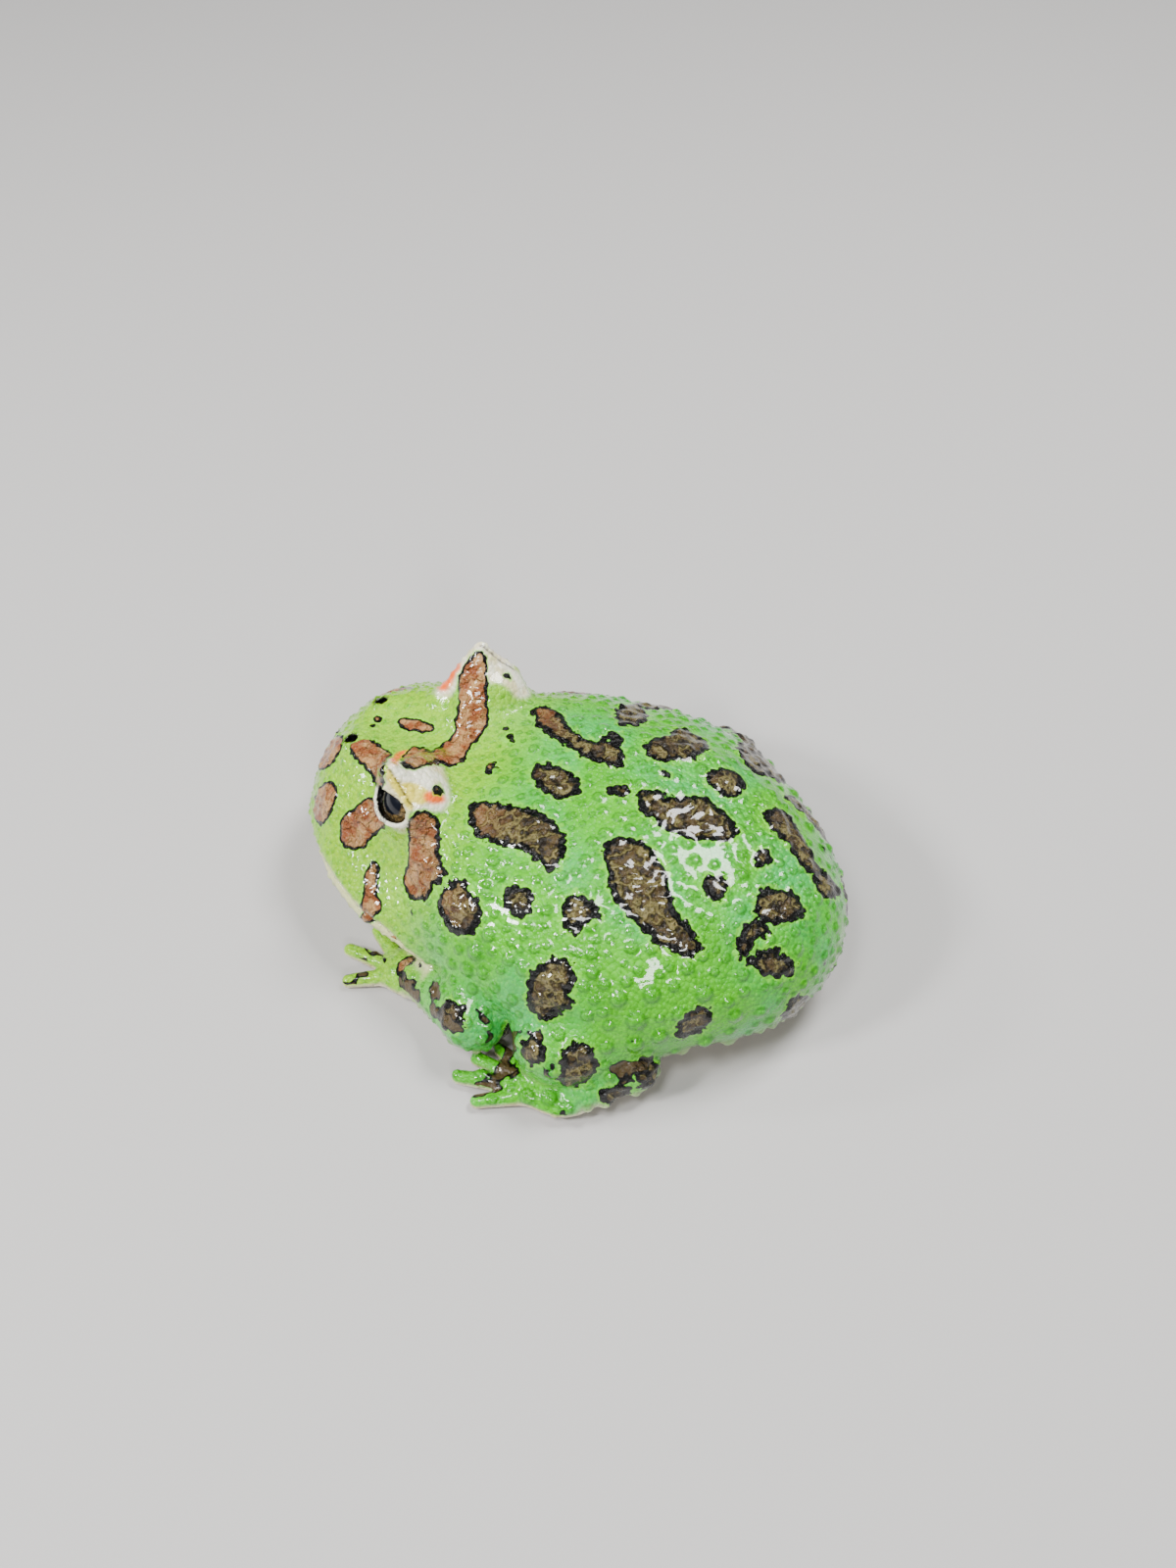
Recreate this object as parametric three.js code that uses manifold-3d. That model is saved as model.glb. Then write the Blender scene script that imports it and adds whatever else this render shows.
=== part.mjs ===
// An Argentine horned frog, life size, sitting still on its belly with its legs folded.
// Millimetres, +Z up. The snout points along -Y and the frog's left side is +X.
// The origin is on the floor under the middle of the frog.
import * as THREE from "three";
import { mergeVertices } from "three/addons/utils/BufferGeometryUtils.js";
import Module from "manifold-3d";

const wasm = await Module();
wasm.setup();

// Driving sizes.
const LENGTH = 70; // snout to vent
const GAP = 0.3; // clear space between parts that touch
const NECK_Y = -0.09 * LENGTH; // the flat cut between head and torso
const FLOOR = 0;
const REACH = 2 * LENGTH; // longer than anything on the frog

// The torso is a broad dome, the head nearly as wide, and both rest on the floor.
const TORSO = { centre: [0, 6.2, 9.4], radii: [24.2, 25.4, 14.4] };
const RUMP = { centre: [0, 20, 9], radii: [15.5, 15, 11.4] };
const SHOULDERS = { centre: [0, -5.2, 10], radii: [20.5, 15, 12.6] };
const JAWS = { centre: [0, -12.7, 8.8], radii: [20.3, 21, 9.8] };
const CRANIUM = { centre: [0, -13.7, 12.8], radii: [14.6, 15, 8.9] };
const SNOUT = { centre: [0, -23.8, 12.4], radii: [13, 10.2, 7.2] };
const TRUNK_BLEND = 4;

// The eye looks out and up. The lid above it rises from crown, brow and temple into the horn.
const EYE = { centre: [9.4, -16.3, 20.6], radius: 3.5 };
const GAZE = new THREE.Vector3(0.76, -0.36, 0.54).normalize();
const LID_THICKNESS = 0.9;
const APERTURE = { halfWidth: 2.8, halfHeight: 1.9, halfDepth: 3, out: 3.6 };
const HORN = {
  tip: [11, -18.4, 26.8],
  brow: [6, -21.6, 20],
  temple: [11, -13.2, 19.2],
  rootRadius: 1.5, // half the flap's thickness
  tipRadius: 0.8,
  blend: 1.6,
  intoHead: 1.8, // how softly the lid runs into the head
};
// The flap's inner side is filled out by a cone that leans from the crown towards the tip.
const LID_CONE = { root: [5.2, -16.8, 19.6], end: [10.2, -17.9, 25.2], radii: [3.2, 1.2] };
const LID_SEAT = { centre: [9.4, -16.8, 22.4], radius: 7.4 }; // the ball that parts lid from head

// The mouth line, as heights above the floor from the snout tip back to its corner.
const MOUTH = [
  [-37.2, 8.2],
  [-29.2, 9.2],
  [-21.2, 9.3],
  [-13.2, 8.4],
  [-4.2, 5.6],
];

const NOSTRIL = { at: [3.5, -29, 18.6], radii: [0.75, 1, 1.3] };

// Joints and thicknesses of the left legs; the right ones mirror them.
const FORELEG = {
  shoulder: [16.5, -3.7, 9],
  elbow: [24, -0.8, 5],
  wrist: [21.6, -9.4, 2.9],
  radii: [4.8, 3.9, 2.6],
  palm: { centre: [20.8, -12.2, 1.7], radii: [3.2, 3.1, 1.8] },
  digits: { lengths: [5.2, 6, 6.6, 5.6], angles: [-62, -30, 0, 32] },
};
const HINDLEG = {
  hip: [13.6, 16.6, 7.8],
  knee: [22.8, 10, 6.2],
  ankle: [21, 18.4, 3.8],
  heel: [25.6, 14.6, 2.5],
  radii: { hip: 7.8, knee: 5.5, calf: 5, ankle: 3, heel: 2.4 },
  sole: { centre: [27, 11, 1.5], radii: [3, 4.6, 1.6] },
  digits: { lengths: [4.2, 5.6, 7.2, 8.4, 6], angles: [-34, -16, 0, 16, 34] },
};
const DIGIT = { rootRadius: 1.25, tipRadius: 0.85, rootHeight: 1.3, tipHeight: 0.8 };

// Fields: a field gives the rough distance from a point to a surface, less than 0 inside it.

function smoothMin(a, b, blend) {
  const h = Math.max(blend - Math.abs(a - b), 0) / blend;
  return Math.min(a, b) - (h * h * blend) / 4;
}

function ellipsoid({ centre: [cx, cy, cz], radii: [rx, ry, rz] }) {
  return ({ x, y, z }) => {
    const [u, v, w] = [(x - cx) / rx, (y - cy) / ry, (z - cz) / rz];
    const near = Math.hypot(u, v, w);
    const slope = Math.hypot(u / rx, v / ry, w / rz);
    return slope > 0 ? (near * (near - 1)) / slope : -Math.min(rx, ry, rz);
  };
}

// How far a point is from a line between two ends, and how far along it lies, from 0 to 1.
function fromLine(p, a, b) {
  const d = [b[0] - a[0], b[1] - a[1], b[2] - a[2]];
  const q = [p.x - a[0], p.y - a[1], p.z - a[2]];
  const dot = q[0] * d[0] + q[1] * d[1] + q[2] * d[2];
  const along = Math.min(1, Math.max(0, dot / (d[0] ** 2 + d[1] ** 2 + d[2] ** 2)));
  const off = Math.hypot(q[0] - along * d[0], q[1] - along * d[1], q[2] - along * d[2]);
  return { off, along };
}

// A tapered rod with round ends.
function rod(a, b, radiusA, radiusB) {
  return (p) => {
    const { off, along } = fromLine(p, a, b);
    return off - radiusA - along * (radiusB - radiusA);
  };
}

// A three-cornered plate with round edges, thinner towards its tip.
function flap(rootA, rootB, tip, rootRadius, tipRadius) {
  const corners = [rootA, rootB, tip].map((corner) => new THREE.Vector3(...corner));
  const plate = new THREE.Triangle(...corners);
  const middle = corners[0].clone().lerp(corners[1], 0.5);
  const rise = new THREE.Line3(middle, corners[2]);
  const nearest = new THREE.Vector3();
  return (p) => {
    const up = rise.closestPointToPointParameter(p, true);
    const radius = rootRadius + up * (tipRadius - rootRadius);
    return plate.closestPointToPoint(p, nearest).distanceTo(p) - radius;
  };
}

function blended(blend, fields) {
  return (p) => fields.reduce((d, field) => smoothMin(d, field(p), blend), Infinity);
}

// A soft ridge, or a hollow where height is below 0, that follows a line on both sides.
function ridge(a, b, width, height) {
  return (p) => {
    const { off } = fromLine({ x: Math.abs(p.x), y: p.y, z: p.z }, a, b);
    return height * Math.exp(-((off / width) ** 2));
  };
}

// The mouth line's height at a place along the head.
const mouthCurve = new THREE.SplineCurve(MOUTH.map(([y, z]) => new THREE.Vector2(y, z)));
const mouthPoints = mouthCurve.getPoints(40);
function mouthHeight(y) {
  const next = mouthPoints.findIndex((q) => q.x > y);
  if (next < 1) return next < 0 ? mouthPoints.at(-1).y : mouthPoints[0].y;
  const [a, b] = [mouthPoints[next - 1], mouthPoints[next]];
  return a.y + ((y - a.x) / (b.x - a.x)) * (b.y - a.y);
}

// Lips: a low roll above and below the mouth line, and a groove between them.
const LIP = { height: 0.5, above: 1.6, width: 1.1, groove: 0.5, grooveWidth: 0.7 };
const MOUTH_CORNER_Y = -8;
function lips({ y, z }) {
  const fade = 1 / (1 + Math.exp((y - MOUTH_CORNER_Y) / 0.8));
  const up = z - mouthHeight(y);
  const roll = Math.exp(-(((Math.abs(up) - LIP.above) / LIP.width) ** 2));
  const groove = Math.exp(-((up / LIP.grooveWidth) ** 2));
  return fade * (LIP.height * roll - LIP.groove * groove);
}

// The raised and hollow forms of head and back.
const RELIEF = [
  ridge([8.4, -21.7, 19.4], [3.6, -28.8, 18.2], 2.4, 0.5), // from horn to nostril
  ridge([0, -25.2, 20], [0, -11.2, 22], 3.4, -0.9), // hollow between the eyes
  ridge([9.6, -12.2, 20], [13, -5.2, 19], 3, 0.9), // crest behind the eye
  ridge([12, -23.2, 14], [16.5, -13.2, 14.6], 3, -0.7), // hollow under the eye
  ridge([0, -7.2, 22], [0, 28.8, 19], 2.6, -0.4), // groove down the spine
  ridge([9, -1.2, 22], [12, 20.8, 21], 3.6, 0.5), // fold beside the back
];

const trunkForms = blended(
  TRUNK_BLEND,
  [TORSO, RUMP, SHOULDERS, JAWS, CRANIUM, SNOUT].map(ellipsoid),
);
function trunk(p) {
  const relief = RELIEF.reduce((sum, form) => sum + form(p), 0);
  return trunkForms(p) - relief - lips(p);
}

// Solids. Each starts as a sphere whose points move out from a centre to where the field is 0.

function solidFrom(geometry) {
  geometry.deleteAttribute("normal");
  geometry.deleteAttribute("uv");
  const merged = mergeVertices(geometry, 1e-4);
  return new wasm.Manifold(
    new wasm.Mesh({
      numProp: 3,
      vertProperties: merged.attributes.position.array,
      triVerts: new Uint32Array(merged.index.array),
    }),
  );
}

// columns run round the axis and rings along it; the sphere's poles lie on the axis.
// gather, from 0 to 1, moves the rings towards the middle between the poles.
const ALONG_Y = new THREE.Vector3(0, 1, 0);
const ALONG_Z = new THREE.Vector3(0, 0, 1);
function grown(field, centre, columns, rings, axis = ALONG_Y, gather = 0) {
  const sphere = new THREE.SphereGeometry(1, columns, rings);
  const turn = new THREE.Quaternion().setFromUnitVectors(ALONG_Y, axis);
  const at = sphere.attributes.position;
  const [direction, p] = [new THREE.Vector3(), new THREE.Vector3()];
  const middle = new THREE.Vector3(...centre);
  for (let i = 0; i < at.count; i++) {
    direction.fromBufferAttribute(at, i);
    const tilt = Math.acos(THREE.MathUtils.clamp(direction.y, -1, 1));
    const moved = tilt + (gather / 2) * Math.sin(2 * tilt);
    const round = Math.atan2(direction.z, direction.x);
    direction.setFromCylindricalCoords(Math.sin(moved), Math.PI / 2 - round, Math.cos(moved));
    direction.applyQuaternion(turn);
    let radius = 0;
    for (let step = 0; step < 200; step++) {
      const inside = -field(p.copy(middle).addScaledVector(direction, radius));
      if (inside < 1e-4) break;
      radius += 0.7 * inside;
    }
    at.setXYZ(i, ...p.toArray());
  }
  return solidFrom(sphere);
}

function box(low, high) {
  const size = high.map((v, i) => v - low[i]);
  const shape = new THREE.BoxGeometry(...size);
  shape.translate(...low.map((v, i) => v + size[i] / 2));
  return solidFrom(shape);
}

function ball(centre, radius, columns, rings) {
  return solidFrom(new THREE.SphereGeometry(radius, columns, rings).translate(...centre));
}

function along(a, b) {
  return new THREE.Vector3(...b).sub(new THREE.Vector3(...a)).normalize();
}

// A tapered rod with round ends, turned about the line from a to b.
function turned(a, b, radiusA, radiusB, columns, capRings) {
  const length = Math.hypot(...a.map((v, i) => b[i] - v));
  const lean = Math.asin((radiusA - radiusB) / length);
  const profile = [];
  for (const [radius, y, from, to] of [
    [radiusA, 0, -Math.PI / 2, lean],
    [radiusB, length, lean, Math.PI / 2],
  ]) {
    for (let i = 0; i <= capRings; i++) {
      const angle = from + ((to - from) * i) / capRings;
      const onAxis = Math.abs(Math.abs(angle) - Math.PI / 2) < 1e-9;
      profile.push(
        new THREE.Vector2(onAxis ? 0 : radius * Math.cos(angle), y + radius * Math.sin(angle)),
      );
    }
  }
  const shape = new THREE.LatheGeometry(profile, columns);
  shape.applyQuaternion(new THREE.Quaternion().setFromUnitVectors(ALONG_Y, along(a, b)));
  return solidFrom(shape.translate(...a));
}

// A rod's solid, and the same one swelled by the gap to cut its neighbours clear of it.
function limb(a, b, radiusA, radiusB, columns, capRings) {
  const make = (extra) => turned(a, b, radiusA + extra, radiusB + extra, columns, capRings);
  return { solid: make(0), swelled: make(GAP) };
}

const mirrored = (point) => [-point[0], point[1], point[2]];
const inflated = (field) => (p) => field(p) - GAP;
const aboveFloor = box([-REACH, -REACH, FLOOR], [REACH, REACH, REACH]);
const joined = (solids) => solids.reduce((all, one) => all.add(one));
const cutBy = (solid, tools) => tools.reduce((left, tool) => left.subtract(tool), solid);

// The largest closed body of a solid, without what the cuts left loose.
function largest(solid) {
  const bodies = solid.decompose();
  return bodies.reduce((a, b) => (b.volume() > a.volume() ? b : a));
}

const HEAD_CENTRE = [0, -17, MOUTH[2][1]];
const TORSO_CENTRE = [0, 8, 9];
const growHead = (field) => grown(field, HEAD_CENTRE, 48, 28, ALONG_Z, 0.45);
const growTorso = (field) => grown(field, TORSO_CENTRE, 40, 26);
const [headWhole, torsoWhole] = [growHead(trunk), growTorso(trunk)];
const [headSwelled, torsoSwelled] = [growHead(inflated(trunk)), growTorso(inflated(trunk))];

// Head and torso part at a flat cut across the neck.
const beforeNeck = box([-REACH, -REACH, -REACH], [REACH, NECK_Y - GAP / 2, REACH]);
const behindNeck = box([-REACH, NECK_Y + GAP / 2, -REACH], [REACH, REACH, REACH]);
const frontHalf = headWhole.intersect(beforeNeck);
const trunkSwelled = headSwelled
  .intersect(box([-REACH, -REACH, -REACH], [REACH, NECK_Y, REACH]))
  .add(torsoSwelled.intersect(box([-REACH, NECK_Y - 1, -REACH], [REACH, REACH, REACH])));

// All that lies below the mouth line, moved up or down by half the gap.
function belowMouth(lift) {
  const outline = new THREE.Shape();
  outline.moveTo(-REACH, -REACH);
  outline.lineTo(REACH, -REACH);
  outline.lineTo(REACH, mouthPoints.at(-1).y + lift);
  for (const q of [...mouthPoints].reverse()) outline.lineTo(q.x, q.y + lift);
  outline.lineTo(-REACH, mouthPoints[0].y + lift);
  const block = new THREE.ExtrudeGeometry(outline, { depth: 2 * REACH, bevelEnabled: false });
  // The outline's own x and y become the frog's y and z.
  block.applyMatrix4(
    new THREE.Matrix4().makeBasis(
      new THREE.Vector3(0, 1, 0),
      new THREE.Vector3(0, 0, 1),
      new THREE.Vector3(1, 0, 0),
    ),
  );
  block.translate(-REACH, 0, 0);
  return solidFrom(block);
}

// The gap between the lids, wider than high, ahead of the eye.
function apertureBefore(centre, gaze) {
  const across = new THREE.Vector3().crossVectors(ALONG_Z, gaze).normalize();
  const up = new THREE.Vector3().crossVectors(gaze, across);
  const shape = new THREE.SphereGeometry(1, 20, 14);
  shape.scale(APERTURE.halfWidth, APERTURE.halfHeight, APERTURE.halfDepth);
  const at = new THREE.Vector3(...centre).addScaledVector(gaze, APERTURE.out);
  shape.applyMatrix4(new THREE.Matrix4().makeBasis(across, up, gaze).setPosition(at));
  return solidFrom(shape);
}

// One side's eye, its lid with the horn, and the seat that they take up in the head.
function eyeOf(side) {
  const place = (point) => (side > 0 ? point : mirrored(point));
  const centre = place(EYE.centre);
  const gaze = new THREE.Vector3(side * GAZE.x, GAZE.y, GAZE.z);
  const tip = place(HORN.tip);
  const lidRadius = EYE.radius + GAP + LID_THICKNESS;
  const lidForms = blended(HORN.blend, [
    ellipsoid({ centre, radii: [lidRadius, lidRadius, lidRadius] }),
    rod(place(LID_CONE.root), place(LID_CONE.end), ...LID_CONE.radii),
    flap(place(HORN.brow), place(HORN.temple), tip, HORN.rootRadius, HORN.tipRadius),
  ]);
  const lid = grown(blended(HORN.intoHead, [lidForms, trunk]), centre, 38, 28, along(centre, tip));
  const seatAt = place(LID_SEAT.centre);
  const seat = ball(seatAt, LID_SEAT.radius, 28, 18);
  const socket = ball(centre, EYE.radius + GAP, 20, 14);
  return {
    eye: ball(centre, EYE.radius, 20, 14),
    lid: cutBy(lid.intersect(seat), [socket, apertureBefore(centre, gaze)]),
    seat: ball(seatAt, LID_SEAT.radius + GAP, 28, 18),
  };
}

function nostril(side) {
  const at = side > 0 ? NOSTRIL.at : mirrored(NOSTRIL.at);
  return grown(ellipsoid({ centre: at, radii: NOSTRIL.radii }), at, 10, 8);
}

// Toes or fingers fanned out from a root, at angles from straight ahead, with round tips.
function digits(root, side, { lengths, angles }) {
  return lengths.map((length, i) => {
    const turn = THREE.MathUtils.degToRad(angles[i]);
    const direction = [side * Math.sin(turn), -Math.cos(turn)];
    const start = [root[0], root[1], DIGIT.rootHeight];
    const end = [
      root[0] + direction[0] * length,
      root[1] + direction[1] * length,
      DIGIT.tipHeight,
    ];
    return limb(start, end, DIGIT.rootRadius, DIGIT.tipRadius, 8, 3).solid;
  });
}

function foreleg(side) {
  const place = (point) => (side > 0 ? point : mirrored(point));
  const [shoulder, elbow, wrist] = [FORELEG.shoulder, FORELEG.elbow, FORELEG.wrist].map(place);
  const [thick, middle, thin] = FORELEG.radii;
  const upper = limb(shoulder, elbow, thick, middle, 16, 5);
  const fore = limb(elbow, wrist, middle, thin, 14, 5);
  const palmAt = place(FORELEG.palm.centre);
  const palm = grown(ellipsoid({ ...FORELEG.palm, centre: palmAt }), palmAt, 12, 8);
  const hand = joined([palm, ...digits(palmAt, side, withPalm(FORELEG))]);
  return {
    upper_arm: cutBy(upper.solid, [trunkSwelled]),
    forearm: cutBy(fore.solid, [trunkSwelled, upper.swelled]),
    hand: cutBy(hand, [trunkSwelled, upper.swelled, fore.swelled]),
  };
}

// Digit lengths count from the edge of the palm or sole, so its own radius is added.
function withPalm({ palm, sole, digits: { lengths, angles } }) {
  const inner = 0.6 * (palm ?? sole).radii[1];
  return { lengths: lengths.map((length) => length + inner), angles };
}

function hindleg(side) {
  const place = (point) => (side > 0 ? point : mirrored(point));
  const [hip, knee, ankle, heel] = [HINDLEG.hip, HINDLEG.knee, HINDLEG.ankle, HINDLEG.heel].map(
    place,
  );
  const { radii } = HINDLEG;
  const thigh = limb(hip, knee, radii.hip, radii.knee, 22, 6);
  const shank = limb(knee, ankle, radii.calf, radii.ankle, 18, 5);
  const tarsus = limb(ankle, heel, radii.ankle, radii.heel, 12, 4);
  const soleAt = place(HINDLEG.sole.centre);
  const sole = grown(ellipsoid({ ...HINDLEG.sole, centre: soleAt }), soleAt, 12, 8);
  const foot = joined([tarsus.solid, sole, ...digits(soleAt, side, withPalm(HINDLEG))]);
  return {
    thigh: cutBy(thigh.solid, [trunkSwelled]),
    shank: cutBy(shank.solid, [trunkSwelled, thigh.swelled]),
    hind_foot: cutBy(foot, [trunkSwelled, thigh.swelled, shank.swelled]),
  };
}

// Colours from the living frog, one for each kind of sub-part.
const LOOKS = {
  skin: { color: 0x6fbf3a, roughness: 0.35, metalness: 0 },
  jaw: { color: 0xb9c765, roughness: 0.4, metalness: 0 },
  horn: { color: 0xcbbf86, roughness: 0.4, metalness: 0 },
  eye: { color: 0x1a1612, roughness: 0.08, metalness: 0 },
};

const frog = new THREE.Group();
function addNode(name, solid, look) {
  const mesh = largest(solid.intersect(aboveFloor)).getMesh();
  const geometry = new THREE.BufferGeometry();
  geometry.setAttribute("position", new THREE.BufferAttribute(mesh.vertProperties, 3));
  geometry.setIndex(new THREE.BufferAttribute(mesh.triVerts, 1));
  const node = new THREE.Mesh(geometry, new THREE.MeshStandardMaterial(LOOKS[look]));
  node.name = name;
  frog.add(node);
}

const [leftEye, rightEye] = [eyeOf(1), eyeOf(-1)];
const headCuts = [leftEye.seat, rightEye.seat, nostril(1), nostril(-1)];
addNode("head", cutBy(frontHalf, [belowMouth(GAP / 2), ...headCuts]), "skin");
addNode("lower_jaw", frontHalf.intersect(belowMouth(-GAP / 2)), "jaw");
addNode("torso", torsoWhole.intersect(behindNeck), "skin");
for (const [side, made] of [
  ["left", leftEye],
  ["right", rightEye],
]) {
  addNode(`eye_${side}`, made.eye, "eye");
  addNode(`horn_${side}`, made.lid, "horn");
}
for (const [side, sign] of [
  ["left", 1],
  ["right", -1],
]) {
  for (const [name, solid] of Object.entries({ ...foreleg(sign), ...hindleg(sign) }))
    addNode(`${name}_${side}`, solid, "skin");
}

export default frog;
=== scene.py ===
"""A half-grown Argentine horned frog, life size, sitting on its belly with its legs folded.

The skin is one closed surface. Its shape is a field: at any point in space a number gives the
rough distance to the frog, less than 0 inside, built from ellipsoids and tapered rods that run
into each other with a soft join. The surface is where the field is 0, and the warts then rise
from it. Lengths in the shape's formulas are millimetres, and meshes are in metres.
The snout points along -Y, the frog's left side is +X, and the floor is z = 0.
"""

import bpy
import numpy as np
import openvdb
from mathutils import Matrix


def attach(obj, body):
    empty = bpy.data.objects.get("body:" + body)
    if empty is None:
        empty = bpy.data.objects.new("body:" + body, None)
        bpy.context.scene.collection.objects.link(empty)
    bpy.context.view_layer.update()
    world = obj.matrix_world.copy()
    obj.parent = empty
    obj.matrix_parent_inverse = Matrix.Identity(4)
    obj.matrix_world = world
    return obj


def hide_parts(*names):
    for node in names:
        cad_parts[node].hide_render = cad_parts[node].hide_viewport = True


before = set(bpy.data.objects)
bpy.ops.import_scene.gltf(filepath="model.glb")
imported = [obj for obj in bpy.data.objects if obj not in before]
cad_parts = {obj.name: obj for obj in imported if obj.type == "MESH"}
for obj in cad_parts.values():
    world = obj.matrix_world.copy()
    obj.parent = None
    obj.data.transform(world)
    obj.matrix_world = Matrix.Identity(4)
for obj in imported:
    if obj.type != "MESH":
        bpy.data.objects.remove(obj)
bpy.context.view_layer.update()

# The camera
# It looks down on the frog's left side from behind its shoulder, as the photo does. The same
# lens also tells where a mark in the photo lies on the skin.
PHOTO_WIDTH, PHOTO_HEIGHT = 1200, 1600  # pixels
VIEW_TURN = np.radians(117)  # from straight ahead of the snout, round to the frog's left
VIEW_RISE = np.radians(51)  # above the floor
FOCAL_PIXELS = 1600  # the lens's focal length, in pixels of the photo
CAMERA_DISTANCE = 195  # mm
AIM_POINT = np.array([0, 0, 10.0])  # this point of the frog shows at the next pixel
AIM_PIXEL = (585, 865)
SENSOR_HEIGHT = 24  # mm
NEAREST_SEEN = 0.005  # metres
MM = 0.001  # metres

level_back = np.array([np.sin(VIEW_TURN), -np.cos(VIEW_TURN), 0])
view_back = level_back * np.cos(VIEW_RISE) + np.array([0, 0, np.sin(VIEW_RISE)])
view_right = np.array([np.cos(VIEW_TURN), np.sin(VIEW_TURN), 0])
view_up = np.cross(view_back, view_right)
pixel_size = CAMERA_DISTANCE / FOCAL_PIXELS
frame_centre = (
    AIM_POINT
    - view_right * (AIM_PIXEL[0] - PHOTO_WIDTH / 2) * pixel_size
    + view_up * (AIM_PIXEL[1] - PHOTO_HEIGHT / 2) * pixel_size
)
camera_place = frame_centre + view_back * CAMERA_DISTANCE


def placed(right, up, back, place):
    """The matrix of something that stands at place and looks along minus back."""
    rows = np.column_stack([right, up, back, place]).tolist()
    return Matrix(rows + [[0, 0, 0, 1]])


camera_data = bpy.data.cameras.new("camera")
camera_data.sensor_fit = "VERTICAL"
camera_data.sensor_height = SENSOR_HEIGHT
camera_data.lens = SENSOR_HEIGHT * FOCAL_PIXELS / PHOTO_HEIGHT
camera_data.clip_start = NEAREST_SEEN
camera = bpy.data.objects.new("camera", camera_data)
camera.matrix_world = placed(view_right, view_up, view_back, camera_place * MM)
bpy.context.collection.objects.link(camera)
bpy.context.scene.camera = camera


# The skin's shape
# Thin wet skin over flesh: a squat body nearly as wide as long, a head that is mostly mouth,
# short thick limbs, and an upper lid over each eye that is drawn up into a soft horn. It is
# one closed surface from the lips to the toes. Each form is a centre and three half sizes.
TORSO = ((0, 6.2, 9.4), (24.2, 25.4, 14.4))
RUMP = ((0, 20, 9), (15.5, 15, 11.4))
SHOULDERS = ((0, -5.2, 10), (20.5, 15, 12.6))
JAWS = ((0, -12.7, 8.8), (20.3, 21, 9.8))
CRANIUM = ((0, -13.7, 12.8), (14.6, 15, 8.9))
SNOUT = ((0, -23.8, 12.4), (13, 10.2, 7.2))
TRUNK_BLEND = 4

EYE_CENTRE, EYE_RADIUS = (9.4, -16.3, 20.6), 3.5
GAZE = np.array([0.76, -0.36, 0.54])  # the way the left eye looks
GAZE /= np.linalg.norm(GAZE)
LID_THICKNESS, EYE_CLEARANCE = 0.9, 0.06
HORN_TIP, HORN_BROW, HORN_TEMPLE = (11, -18.4, 26.8), (6, -21.6, 20), (11, -13.2, 19.2)
HORN_ROOT_RADIUS, HORN_TIP_RADIUS, HORN_BLEND, LID_INTO_HEAD = 1.5, 0.8, 1.6, 1.8
LID_CONE = ((5.2, -16.8, 19.6), (10.2, -17.9, 25.2), 3.2, 1.2)  # its ends, and a radius at each

# The mouth line from the snout back, as pairs of y and height.
MOUTH = ((-37.2, 8.2), (-29.2, 9.2), (-21.2, 9.3), (-13.2, 8.4), (-4.2, 5.6))
MOUTH_CORNER_Y, MOUTH_FADE = -8, 0.8
LIPS = ((1.5, 1.1, 0.5), (-1.4, 1.0, 0.35))  # each roll's height over the line, width and swell
LIP_GROOVE_WIDTH, LIP_GROOVE_DEPTH = 0.36, 1.0
NOSTRIL = ((3.5, -29, 18.6), (0.75, 1, 1.3))
RELIEF = [  # the two ends of a raised or hollow form, its width and its height
    ((8.4, -21.7, 19.4), (3.6, -28.8, 18.2), 2.2, 0.6),  # from horn to nostril
    ((0, -25.2, 20), (0, -11.2, 22), 3.4, -0.9),  # hollow between the eyes
    ((9.6, -12.2, 20), (13, -5.2, 19), 2.6, 0.9),  # crest behind the eye
    ((12, -23.2, 14), (16.5, -13.2, 14.6), 2.8, -0.8),  # hollow under the eye
    ((0, -7.2, 22), (0, 28.8, 19), 2.2, -0.45),  # groove down the spine
    ((9, -1.2, 22), (12, 20.8, 21), 3.4, 0.5),  # fold beside the back
    ((3.5, -29, 18.2), (3.5, -28.8, 18.6), 1.5, 0.5),  # rim of the nostril
]

# Each digit has a length and an angle, in degrees from straight ahead.
FORELEG = {
    "shoulder": (16.5, -3.7, 9),
    "elbow": (24, -0.8, 5),
    "wrist": (21.6, -9.4, 2.9),
    "radii": (4.8, 3.9, 2.6),
    "palm": ((20.8, -12.2, 1.7), (3.2, 3.1, 1.8)),
    "lengths": (5.2, 6, 6.6, 5.6),
    "angles": (-62, -30, 0, 32),
    "elbow_blend": 1.2,
    "palm_blend": 1.4,
    "body_blend": 1.2,
}
HINDLEG = {
    "hip": (13.6, 16.6, 7.8),
    "knee": (22.8, 10, 6.2),
    "ankle": (21, 18.4, 3.8),
    "heel": (25.6, 14.6, 2.5),
    "radii": (7.8, 5.5, 5, 3, 2.4),
    "sole": ((27, 11, 1.5), (3, 4.6, 1.6)),
    "lengths": (4.2, 5.6, 7.2, 8.4, 6),
    "angles": (-34, -16, 0, 16, 34),
    "sole_blend": 1.2,
    "fold_blend": 0.8,
    "body_blend": 1.0,
}
DIGIT_ROOT, DIGIT_TIP, DIGIT_ROOT_HEIGHT, DIGIT_TIP_HEIGHT = 1.25, 0.85, 1.3, 0.8
DIGIT_BLEND = 0.5
DIGIT_INSIDE = 0.6  # of the half length of palm or sole is added to a digit inside it
TINY = 1e-6  # keeps a division away from 0


def smooth_min(a, b, blend):
    """The lesser of two fields, rounded off by up to a quarter of blend where they are alike."""
    h = np.maximum(blend - np.abs(a - b), 0) / blend
    return np.minimum(a, b) - h * h * blend / 4


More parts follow.
